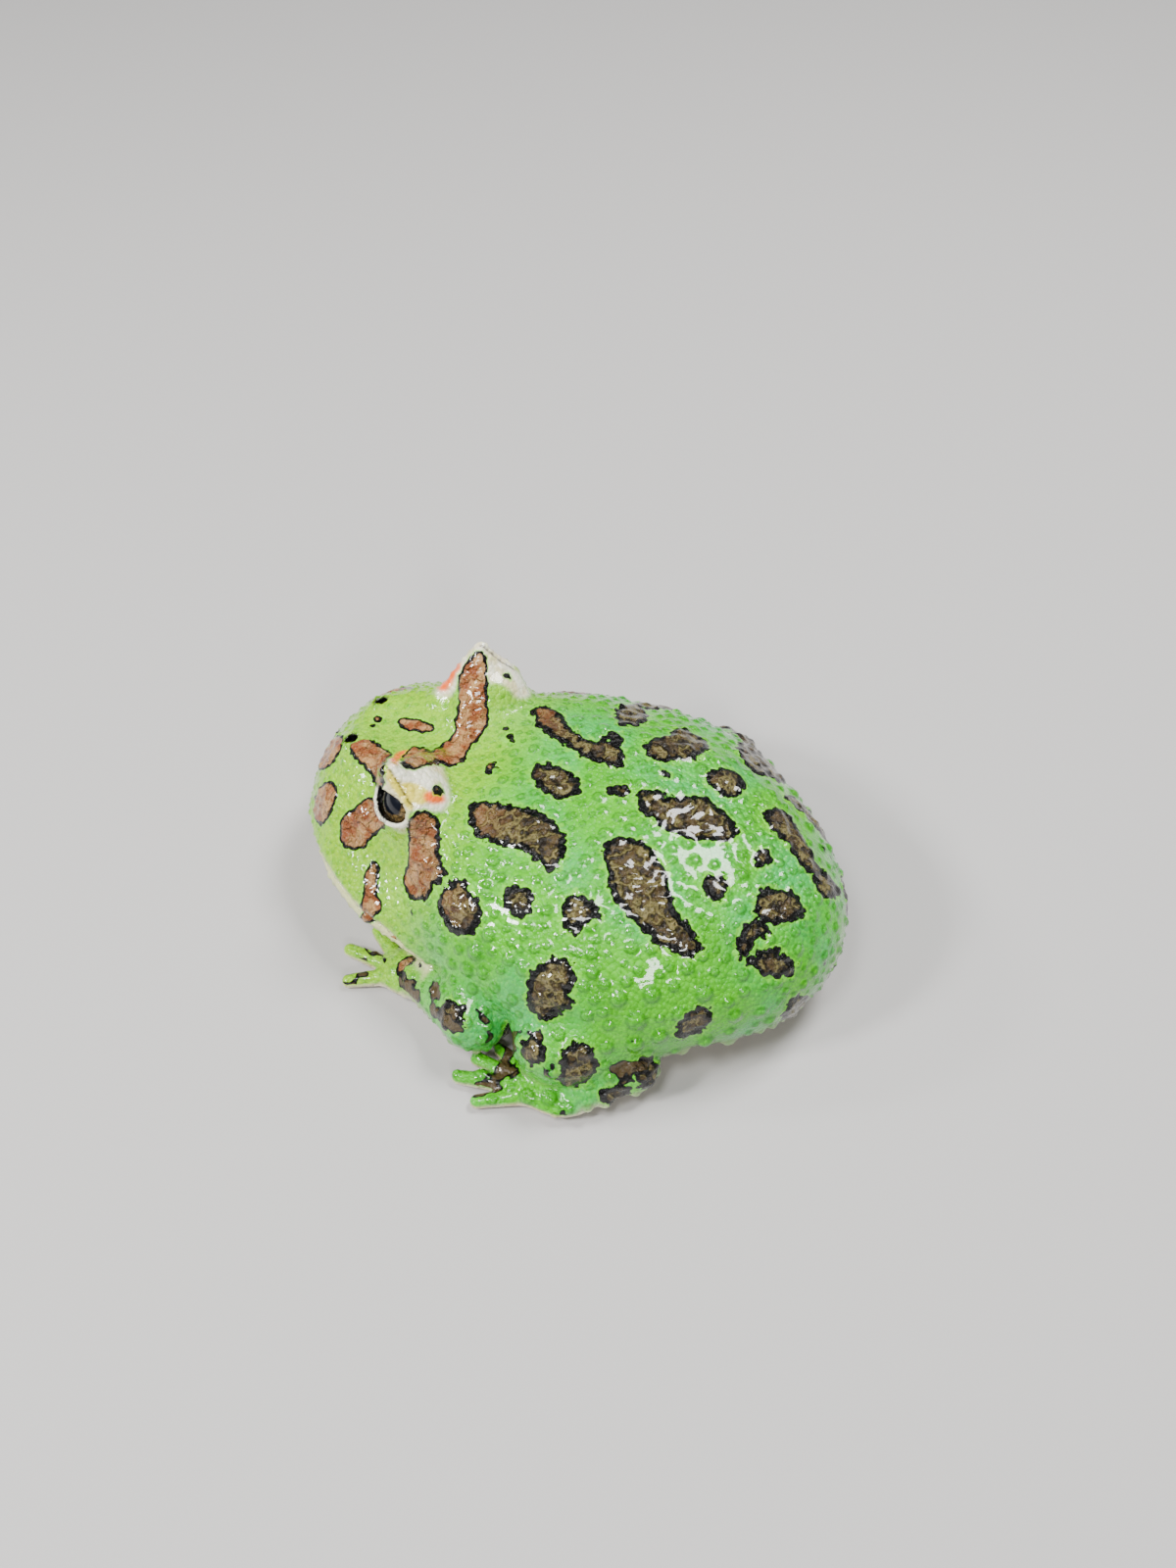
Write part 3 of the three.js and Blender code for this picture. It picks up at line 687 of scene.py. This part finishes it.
def grow_warts():
    """Raises a dome, e to minus the distance cubed, at scattered vertices not too close."""
    draw = np.random.default_rng(WART_SEED)
    open_skin = (vertices[:, 2] > WART_LOWEST) & (normals[:, 2] > WART_LEAST_UP)
    picks = draw.choice(np.nonzero(open_skin)[0], WART_TRIES)
    radii = wart_radius(vertices[picks], draw)
    chosen, cells = [], {}
    for pick, radius in zip(picks, radii):
        place = vertices[pick]
        cell = tuple((place // WART_CELL).astype(int))
        beside = [
            other
            for i in (-1, 0, 1)
            for j in (-1, 0, 1)
            for k in (-1, 0, 1)
            for other in cells.get((cell[0] + i, cell[1] + j, cell[2] + k), ())
        ]
        spacing = WART_GAP + draw.uniform(0, WART_GAP_CHANCE)
        if all(np.linalg.norm(place - o[0]) > spacing * (radius + o[1]) for o in beside):
            cells.setdefault(cell, []).append((place, radius))
            chosen.append((place, radius))
    height, share = np.zeros(len(vertices)), np.zeros(len(vertices))
    order = np.argsort(vertices[:, 1], kind="stable")
    sorted_y = vertices[order, 1]
    for place, radius in chosen:
        reach = WART_REACH * radius
        low, high = np.searchsorted(sorted_y, [place[1] - reach, place[1] + reach])
        near = order[low:high]
        off = np.linalg.norm(vertices[near] - place, axis=-1) / radius
        dome = np.exp(-((off / WART_WIDTH) ** 3))
        height[near] = np.maximum(height[near], WART_HEIGHT * radius * dome)
        share[near] = np.maximum(share[near], dome)
    return height, share


wart_height, wart = grow_warts()


# The skin's surface
# A blotch stands a hair above the green and is wrinkled, its warts are lower, a crease is
# pressed into the lid, and all of it is a little uneven, but not on the floor or at an eye.
BLOTCH_EDGE, BLOTCH_LIFT, BLOTCH_WART_LESS = 0.7, 0.10, 0.45
WRINKLE_LIFT, WRINKLE_LENGTH, WRINKLE_SEED = 0.22, 2.6, 21
SWELL_LIFT, SWELL_LENGTH, SWELL_SEED = 0.16, 6, 22
GRAIN_LIFT, GRAIN_LENGTH, GRAIN_SEED = 0.05, 1.3, 23
# The crease's depth and width, and the width of the painted shade along it.
CREASE_DEPTH, CREASE_WIDTH, CREASE_SHADE_WIDTH = 0.35, 0.4, 0.28
FLOOR_CALM = (0.05, 1.2)  # the relief grows to its full over these heights
SOCKET_CALM = (EYE_RADIUS + 0.5, EYE_RADIUS + 1.6)  # and these distances from an eye's centre
WAVE_COUNT, WAVE_LENGTHS = 6, (0.7, 1.4)


def waves(p, length, seed):
    """A smooth uneven number from -1 to 1: sine waves of like length in random directions."""
    draw = np.random.default_rng(seed)
    total = 0
    for _ in range(WAVE_COUNT):
        way = draw.normal(size=3)
        way *= 2 * np.pi / (length * draw.uniform(*WAVE_LENGTHS) * np.linalg.norm(way))
        total = total + np.sin(p @ way + draw.uniform(0, FULL_TURN))
    return total / WAVE_COUNT


inside = between(-spot, 0.0, BLOTCH_EDGE)
folds = 0.5 - 2 * np.abs(waves(vertices, WRINKLE_LENGTH, WRINKLE_SEED))
swell = waves(vertices, SWELL_LENGTH, SWELL_SEED)
lift = wart_height * (1 - BLOTCH_WART_LESS * inside)
lift += BLOTCH_LIFT * inside + WRINKLE_LIFT * inside * folds
lift += SWELL_LIFT * swell + GRAIN_LIFT * waves(vertices, GRAIN_LENGTH, GRAIN_SEED)
lift -= CREASE_DEPTH * bell(crease, CREASE_WIDTH)
rest = between(vertices[:, 2], *FLOOR_CALM)
eye_off = np.linalg.norm(left - np.float32(EYE_CENTRE), axis=-1)
calm = between(eye_off, *SOCKET_CALM)
skin_places = vertices + normals * (lift * rest * calm)[:, None]

skin_mesh = bpy.data.meshes.new("skin")
skin_mesh.vertices.add(len(vertices))
skin_mesh.vertices.foreach_set("co", np.float32(skin_places * MM).ravel())
skin_mesh.loops.add(quads.size)
skin_mesh.loops.foreach_set("vertex_index", quads.astype(np.int32).ravel())
skin_mesh.polygons.add(len(quads))
skin_mesh.polygons.foreach_set("loop_start", np.arange(0, quads.size, 4, dtype=np.int32))
skin_mesh.update(calc_edges=True)
skin_mesh.validate()
skin_mesh.polygons.foreach_set("use_smooth", np.ones(len(skin_mesh.polygons), bool))

# What the material reads at each vertex: distances in mm, and shares from 0 to 1.
skin_y, skin_z, line_z = vertices[:, 1], vertices[:, 2], mouth_height(vertices[:, 1])
facing_down = between(-normals[:, 2], 0.15, 0.75)
low_side = (1 - between(skin_z, 1.2, 4.2)) * between(0.5 - normals[:, 2], 0, 0.5)
limb = between(trunk(left), 0.5, 1.4) * between(15 - skin_z, 0, 2)
under_jaw = (1 - between(skin_y, -9, -5)) * (1 - limb) * between(line_z - skin_z, 0.2, 2.5)
past_corner = between(skin_y, MOUTH_CORNER_Y - 1, MOUTH_CORNER_Y + 2)
horn_tip = between(skin_z, 24.4, 26.0)
for name, values in {
    "spot": spot,
    # Painted shade: black inside each nostril's hollow.
    "nostril_shade": 1 - between(ellipsoid(left, *NOSTRIL), 0.02, 0.2),
    "lid_edge": np.clip(aperture(left), -1, 3),
    "lower_lid": between(-((left - EYE_CENTRE) @ eye_up), -0.6, 0.4),
    "cream": np.maximum(between(-cream, -0.5, 0.4), horn_tip),
    "yellow": between(-yellow, -0.3, 0.3),
    "orange": between(-orange, -0.4, 0.3),
    # The share of painted shade along the groove pressed into the lid.
    "crease": bell(crease, CREASE_SHADE_WIDTH),
    "limb": limb,
    "wart": wart,
    "belly": np.maximum(np.maximum(facing_down, low_side), 0.75 * under_jaw),
    "face": 1 - between(skin_y, -16, -2),
    "lip_line": np.clip(np.abs(skin_z - line_z) + 4 * past_corner, 0, 3),
}.items():
    layer = skin_mesh.attributes.new(name, "FLOAT", "POINT")
    layer.data.foreach_set("value", np.float32(values))
skin = bpy.data.objects.new("skin", skin_mesh)
bpy.context.collection.objects.link(skin)


class Nodes:
    """A short way to write a material's nodes: most calls add one and give its output."""

    def __init__(self, name):
        self.material = bpy.data.materials.new(name)
        self.material.use_nodes = True
        self.tree = self.material.node_tree
        self.shader = self.tree.nodes["Principled BSDF"]
        self.place = self.tree.nodes.new("ShaderNodeTexCoord").outputs["Object"]

    def add(self, kind, output, inputs=None, **settings):
        """A node of that kind with these settings, and values or wires at its inputs."""
        node = self.tree.nodes.new(kind)
        for name, value in settings.items():
            setattr(node, name, value)
        for socket, value in (inputs or {}).items():
            self.put(node.inputs[socket], value)
        return node.outputs[output]

    def put(self, socket, value):
        """Wires an output to the socket, or sets the socket's own value."""
        if isinstance(value, bpy.types.NodeSocket):
            self.tree.links.new(value, socket)
        else:
            socket.default_value = value

    def attribute(self, name):
        """The number that the mesh holds under this name."""
        return self.add("ShaderNodeAttribute", "Fac", attribute_name=name)

    def noise(self, size, detail=3, rough=0.5, shift=0.0):
        """Soft random number from 0 to 1, its patches about size metres across."""
        where = self.place
        if shift:
            inputs = {0: self.place, 1: (shift,) * 3}
            where = self.add("ShaderNodeVectorMath", "Vector", inputs, operation="ADD")
        inputs = {"Vector": where, "Scale": 1 / size, "Detail": detail, "Roughness": rough}
        return self.add("ShaderNodeTexNoise", "Fac", inputs)

    def cells(self, size, feature="F1"):
        """The distance to the middle of random cells about size metres across, or to an edge."""
        inputs = {"Vector": self.place, "Scale": 1 / size}
        return self.add("ShaderNodeTexVoronoi", "Distance", inputs, feature=feature)

    def math(self, operation, a, b=0.0):
        """One step of reckoning with two numbers or outputs."""
        return self.add("ShaderNodeMath", 0, {0: a, 1: b}, operation=operation)

    def times(self, a, b):
        """a times b."""
        return self.math("MULTIPLY", a, b)

    def ramp(self, value, low, high, to_low=0.0, to_high=1.0):
        """value, taken smoothly from the span low..high to to_low..to_high."""
        inputs = {"Value": value, 1: low, 2: high, 3: to_low, 4: to_high}
        return self.add("ShaderNodeMapRange", "Result", inputs, interpolation_type="SMOOTHSTEP")

    def mix(self, share, a, b):
        """Two colours, each an RGB triple or an output, mixed by share."""
        fill = [c if isinstance(c, bpy.types.NodeSocket) else (*c, 1) for c in (a, b)]
        inputs = {0: share, 6: fill[0], 7: fill[1]}
        return self.add("ShaderNodeMix", 2, inputs, data_type="RGBA")

    def bump(self, height, strength, distance, below=None):
        """The normal, tilted by a height of up to distance metres, over another such tilt."""
        inputs = {"Height": height, "Strength": strength, "Distance": distance}
        if below is not None:
            inputs["Normal"] = below
        return self.add("ShaderNodeBump", "Normal", inputs)

    def finish(self, inputs):
        """Sets the surface's own values, or wires outputs to them, and gives the material."""
        for name, value in inputs.items():
            self.put(self.shader.inputs[name], value)
        return self.material


# The teal green is a painted sheen of the wet skin, laid in soft patches over the green.
GREEN, GREEN_DEEP, GREEN_TEAL_SHEEN = (0.065, 0.42, 0.001), (0.02, 0.19, 0.001), (0.03, 0.40, 0.07)
GREEN_YELLOW, GREEN_PALE = (0.31, 0.54, 0.0005), (0.18, 0.62, 0.015)
BROWN, BROWN_DARK, BROWN_OLIVE = (0.060, 0.040, 0.015), (0.010, 0.007, 0.004), (0.19, 0.16, 0.055)
BROWN_RED, BROWN_TAN = (0.24, 0.065, 0.018), (0.44, 0.24, 0.09)
GREEN_WART = (0.03, 0.27, 0.001)
CREAM, CREAM_BELLY, BLACK = (0.66, 0.60, 0.34), (0.66, 0.60, 0.38), (0.001, 0.001, 0.001)
ORANGE, YELLOW, LID_WHITE = (0.85, 0.13, 0.01), (0.66, 0.55, 0.01), (0.80, 0.78, 0.62)
# The sizes of the patterns' patches and cells, in metres. The teal patches are a painted sheen.
TEAL_SHEEN_PATCH, DEEP_PATCH, CREAM_PATCH, BELLY_PATCH = 0.012, 0.004, 0.0022, 0.005
GRAIN_CELL, NET_CELL, FLECK, SPECK_CELL, SPECK_EDGE = 0.00042, 0.00055, 0.0006, 0.0052, 0.0005
SCALLOP_CELL, RIM_WAVER, LIMB_BAR, LID_RAGGED = 0.0010, 0.0009, 0.0036, 0.0014
FOLD, BROWN_PATCH, WARM_PATCH, GLOSS_PATCH = 0.0024, 0.0012, 0.0018, 0.0025
PEBBLE_CELL, FINE_GRAIN, WRINKLE_GRAIN = 0.00055, 0.00022, 0.0009
PEBBLE_DEPTH, FINE_DEPTH, WRINKLE_DEPTH = 0.00018, 0.00006, 0.0004
WET_FLESH = {
    "Specular IOR Level": 0.2,
    "Coat Weight": 1.0,
    "Coat Roughness": 0.06,
    "Coat IOR": 1.36,
    "Subsurface Weight": 0.12,
    "Subsurface Radius": (0.4, 0.8, 0.2),
    "Subsurface Scale": 0.0008,
}


def green_skin(n, face, warts):
    """Green with soft teal patches of painted sheen, yellower on the face, with a net, dark flecks, and
    warts ringed with painted shade at their feet.
    """
    # Soft teal patches at random over the green: a painted teal sheen.
    colour = n.mix(n.ramp(n.noise(TEAL_SHEEN_PATCH, 2), 0.4, 0.65), GREEN, GREEN_TEAL_SHEEN)
    deep = n.ramp(n.noise(DEEP_PATCH, 3, 0.6, 3.1), 0.45, 0.75, 0, 0.5)
    colour = n.mix(deep, colour, GREEN_DEEP)
    colour = n.mix(n.times(face, 0.75), colour, GREEN_YELLOW)
    colour = n.mix(n.ramp(n.cells(GRAIN_CELL), 0.1, 0.6, 0.22, 0), colour, GREEN_PALE)
    net = n.ramp(n.cells(NET_CELL, "DISTANCE_TO_EDGE"), 0.0, 0.2, 0.2, 0)
    colour = n.mix(net, colour, GREEN_DEEP)
    # A dark ring round each wart's foot: painted shade where the dome meets the skin, weaker on the face.
    ring = n.times(n.ramp(warts, 0.02, 0.2), n.ramp(warts, 0.75, 0.35))
    ring = n.times(ring, n.ramp(face, 0.3, 1, 0.75, 0.3))
    colour = n.mix(ring, colour, GREEN_DEEP)
    colour = n.mix(n.ramp(warts, 0.5, 0.9, 0, 0.7), colour, GREEN_WART)
    flecks = n.ramp(n.noise(FLECK, 2, 0.5, 5.3), 0.64, 0.72, 0, 0.5)
    return n.mix(flecks, colour, GREEN_DEEP)


def pale_parts(n, colour):
    """Cream horns and lids with yellow, orange and painted shade in the crease, then the lips and the
    belly.
    """
    pale = n.mix(n.ramp(n.noise(CREAM_PATCH, 3), 0.4, 0.6), CREAM, LID_WHITE)
    colour = n.mix(n.attribute("cream"), colour, pale)
    colour = n.mix(n.ramp(n.attribute("yellow"), 0, 1, 0, 0.85), colour, YELLOW)
    colour = n.mix(n.attribute("orange"), colour, ORANGE)
    # Painted shade darkens the lid's crease.
    colour = n.mix(n.ramp(n.attribute("crease"), 0.3, 1, 0, 0.8), colour, BROWN_DARK)
    colour = n.mix(n.ramp(n.attribute("lip_line"), 1.7, 0.9, 0, 0.75), colour, CREAM)
    belly = n.mix(n.ramp(n.noise(BELLY_PATCH, 3), 0.45, 0.6, 0, 0.35), CREAM_BELLY, BROWN_TAN)
    return n.mix(n.attribute("belly"), colour, belly)


def blotch(n, face, edge, crest):
    """Brown, dark between its crests and redder on the face, inside a black rim."""
    colour = n.mix(n.ramp(n.noise(BROWN_PATCH, 4, 0.65, 1.7), 0.42, 0.58), BROWN, BROWN_DARK)
    colour = n.mix(n.times(crest, 0.65), colour, BROWN_OLIVE)
    warm = n.mix(n.ramp(n.noise(WARM_PATCH, 3, 0.6, 0.7), 0.4, 0.62), BROWN_RED, BROWN_TAN)
    colour = n.mix(n.times(face, 0.85), colour, warm)
    return n.mix(n.ramp(edge, -0.92, -0.64), colour, BLACK)


def dark_details(n, colour):
    """Bars on arms, shanks and toes, the eye's ragged rim, and painted shade in the nostrils and along the
    mouth line.
    """
    limb = n.times(n.attribute("limb"), n.ramp(n.attribute("belly"), 0.4, 0.1))
    bars = n.times(n.noise(LIMB_BAR, 2, 0.5, 2.2), limb)
    bar = n.mix(n.ramp(bars, 0.61, 0.63), BLACK, BROWN)
    colour = n.mix(n.ramp(bars, 0.575, 0.585), colour, bar)
    lid_edge = n.attribute("lid_edge")
    ragged = n.math("ADD", lid_edge, n.ramp(n.noise(LID_RAGGED, 2), 0.3, 0.7, -0.2, 0.3))
    on_rim = n.times(n.ramp(ragged, 0.9, 0.6), n.attribute("lower_lid"))
    colour = n.mix(on_rim, colour, LID_WHITE)
    colour = n.mix(n.ramp(lid_edge, 0.16, 0.04), colour, BLACK)
    # The nostrils' hollows are painted black, as shade.
    colour = n.mix(n.attribute("nostril_shade"), colour, BLACK)
    # Painted shade: a dark line in the groove between the lips.
    return n.mix(n.ramp(n.attribute("lip_line"), 0.42, 0.12, 0, 0.8), colour, BROWN_DARK)


def skin_material():
    """Wet skin: the colours above, under a clear coat, over a grain of pebbles and wrinkles."""
    n = Nodes("frog_skin")
    face = n.attribute("face")
    # The rim of every blotch is scalloped by cells, a little uneven, and thinner on the face.
    scallop = n.times(n.math("SUBTRACT", n.cells(SCALLOP_CELL), 0.45), 0.95)
    waver = n.times(n.math("SUBTRACT", n.noise(RIM_WAVER, 3, 0.6), 0.5), 0.9)
    edge = n.math("DIVIDE", n.attribute("spot"), n.ramp(face, 0.5, 1.0, 1, 0.5))
    edge = n.math("ADD", edge, n.math("ADD", scallop, waver))
    # Its crests are crooked lines, where a noise passes its middle.
    fold = n.math("ABSOLUTE", n.math("SUBTRACT", n.noise(FOLD, 3, 0.55), 0.5))
    crest = n.ramp(fold, 0.085, 0.005)

    ground = pale_parts(n, green_skin(n, face, n.attribute("wart")))
    pale_rim = n.times(n.ramp(edge, 0.55, 0.15), 0.55)
    ground = n.mix(pale_rim, ground, GREEN_PALE)
    speck_edge = n.ramp(n.noise(SPECK_EDGE, 2), 0.3, 0.7, -0.02, 0.02)
    speck = n.math("ADD", n.cells(SPECK_CELL), speck_edge)
    ground = n.mix(n.ramp(speck, 0.085, 0.065), ground, BLACK)
    colour = n.mix(n.ramp(edge, 0.06, -0.06), ground, blotch(n, face, edge, crest))

    pebbles = n.math("SUBTRACT", 1.0, n.math("POWER", n.cells(PEBBLE_CELL), 2.0))
    below = n.bump(pebbles, 1.0, PEBBLE_DEPTH)
    below = n.bump(n.noise(FINE_GRAIN, 3, 0.6), 0.4, FINE_DEPTH, below)
    wrinkle = n.math("ADD", crest, n.noise(WRINKLE_GRAIN, 3, 0.6))
    wrinkle = n.times(wrinkle, n.ramp(edge, 0.05, -0.1))
    surface = {
        "Base Color": dark_details(n, colour),
        "Roughness": n.ramp(n.noise(GLOSS_PATCH, 3), 0.3, 0.7, 0.24, 0.42),
        "Normal": n.bump(wrinkle, 1.0, WRINKLE_DEPTH, below),
    }
    return n.finish(surface | WET_FLESH)


skin_mesh.materials.append(skin_material())
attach(skin, "root")
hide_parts(*[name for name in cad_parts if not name.startswith("eye_")])


# The eyes
# A dark wet ball under each lid: a black pupil wider than high in a bronze iris, behind a
# clear cornea that bulges a little.
PUPIL_WIDE, PUPIL_HIGH, PUPIL_AHEAD = 2.0, 1.5, 0.6
CORNEA_BULGE, CORNEA_RADIUS = 0.14, 2.4
EYE_ROUND, EYE_RINGS = 72, 48
BEHIND = 9  # an attribute's value on the back half, far outside pupil and iris
IRIS_LIGHT, IRIS_DEEP, IRIS_EDGE = (0.17, 0.11, 0.04), (0.03, 0.02, 0.008), (0.02, 0.016, 0.012)
PUPIL, IRIS_VEIN = (0.003, 0.004, 0.008), 0.00035
WET_CORNEA = {
    "Roughness": 0.3,
    "Specular IOR Level": 0.1,
    "Coat Weight": 0.6,
    "Coat Roughness": 0.02,
}


def eyeball(name, side):
    """A ball in rings round the gaze: its radius has a low bell-shaped rise at the front."""
    gaze, across = GAZE * [side, 1, 1], eye_side * [side, 1, 1]
    up = eye_up * [side, 1, 1]
    ring = np.linspace(0, np.pi, EYE_RINGS)[1:-1, None]
    round_ = np.linspace(0, 2 * np.pi, EYE_ROUND, endpoint=False)[None]
    off_axis = EYE_RADIUS * np.sin(ring) * np.ones_like(round_)
    ahead = np.cos(ring) > 0
    radius = EYE_RADIUS + CORNEA_BULGE * bell(off_axis, CORNEA_RADIUS) * ahead
    local = np.stack(
        [
            radius * np.sin(ring) * np.cos(round_),
            radius * np.sin(ring) * np.sin(round_),
            radius * np.cos(ring) * np.ones_like(round_),
        ],
        -1,
    ).reshape(-1, 3)
    poles = np.array([[0, 0, EYE_RADIUS + CORNEA_BULGE], [0, 0, -EYE_RADIUS]])
    local = np.vstack([local, poles])
    places = np.array(EYE_CENTRE) * [side, 1, 1] + local @ np.stack([across, up, gaze])
    i, j = np.meshgrid(np.arange(EYE_RINGS - 3), np.arange(EYE_ROUND), indexing="ij")
    k = (j + 1) % EYE_ROUND
    rows = [i * EYE_ROUND + j, (i + 1) * EYE_ROUND + j, (i + 1) * EYE_ROUND + k, i * EYE_ROUND + k]
    faces = np.stack(rows, -1).reshape(-1, 4)
    first, last = len(local) - 2, len(local) - 1
    j = np.arange(EYE_ROUND)
    k, low = (j + 1) % EYE_ROUND, (EYE_RINGS - 3) * EYE_ROUND
    front = np.stack([j, k, np.full_like(j, first)], -1)
    rear = np.stack([low + k, low + j, np.full_like(j, last)], -1)
    caps = np.vstack([front, rear])
    if side > 0:
        faces, caps = faces[:, ::-1], caps[:, ::-1]
    mesh = bpy.data.meshes.new(name)
    mesh.from_pydata((places * MM).tolist(), [], faces.tolist() + caps.tolist())
    mesh.polygons.foreach_set("use_smooth", np.ones(len(mesh.polygons), bool))
    off = np.hypot((local[:, 0] + PUPIL_AHEAD) / PUPIL_WIDE, local[:, 1] / PUPIL_HIGH)
    off[local[:, 2] < 0] = BEHIND
    iris_off = np.hypot(local[:, 0], local[:, 1])
    iris_off[local[:, 2] < 0] = BEHIND
    for label, values in {"pupil": off, "iris": iris_off}.items():
        layer = mesh.attributes.new(label, "FLOAT", "POINT")
        layer.data.foreach_set("value", np.float32(values))
    ball = bpy.data.objects.new(name, mesh)
    bpy.context.collection.objects.link(ball)
    return ball


def eye_material():
    """A nearly black pupil in a veined bronze iris, darker at its edge, under a clear coat."""
    n = Nodes("wet_eye")
    pupil, iris = n.attribute("pupil"), n.attribute("iris")
    veins = n.ramp(n.noise(IRIS_VEIN, 4, 0.7), 0.42, 0.6)
    bronze = n.mix(veins, IRIS_DEEP, IRIS_LIGHT)
    bronze = n.mix(n.ramp(iris, 2.5, 3.1), bronze, IRIS_EDGE)
    surface = {"Base Color": n.mix(n.ramp(pupil, 1.12, 0.98), bronze, PUPIL)}
    return n.finish(surface | WET_CORNEA)


wet_eye = eye_material()
for side_name, side in (("left", 1), ("right", -1)):
    eye = eyeball(f"eyeball_{side_name}", side)
    eye.data.materials.append(wet_eye)
    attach(eye, "root")
    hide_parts(f"eye_{side_name}")


# The floor and the light
# A plain pale floor under soft studio lamps: one broad lamp behind and above for the sheen on
# the wet back, one beside the camera, and small ones for sharp glints.
FLOOR_SIZE = 1.6  # metres
FLOOR_GREY, SKY_GREY, SKY_STRENGTH = (0.42, 0.41, 0.40, 1), (0.8, 0.82, 0.85, 1), 0.13
LAMPS = {  # place and size in metres, and power in watts
    "sheen": ((-0.20, 0.10, 0.42), 0.14, 3.0),
    "front": ((0.30, -0.28, 0.36), 0.08, 3.0),
    "side": ((0.34, 0.26, 0.30), 0.08, 1.2),
    "flank": ((0.19, -0.03, 0.44), 0.10, 1.4),
    "face": ((0.12, -0.40, 0.30), 0.06, 0.9),
}


def plain_floor():
    """One square, matt and pale."""
    mesh = bpy.data.meshes.new("floor")
    half = FLOOR_SIZE / 2
    corners = [(-half, -half, 0), (half, -half, 0), (half, half, 0), (-half, half, 0)]
    mesh.from_pydata(corners, [], [(0, 1, 2, 3)])
    floor = bpy.data.objects.new("floor", mesh)
    bpy.context.collection.objects.link(floor)
    mesh.materials.append(
        Nodes("pale_floor").finish({"Base Color": FLOOR_GREY, "Roughness": 0.7})
    )


def lamp(name, place, size, power):
    """A square lamp of that size in metres, turned to the frog's middle."""
    data = bpy.data.lights.new(name, "AREA")
    data.shape, data.size, data.energy = "SQUARE", size, power
    light = bpy.data.objects.new(name, data)
    back = np.array(place) - AIM_POINT * MM
    back /= np.linalg.norm(back)
    side = np.cross([0.01, 0, 1], back)
    side /= np.linalg.norm(side)
    up = np.cross(back, side)
    light.matrix_world = placed(side, up, back, place)
    bpy.context.collection.objects.link(light)


plain_floor()
for lamp_name, settings in LAMPS.items():
    lamp(lamp_name, *settings)
world = bpy.data.worlds.new("soft_grey")
world.use_nodes = True
sky = world.node_tree.nodes["Background"].inputs
sky["Color"].default_value = SKY_GREY
sky["Strength"].default_value = SKY_STRENGTH
bpy.context.scene.world = world
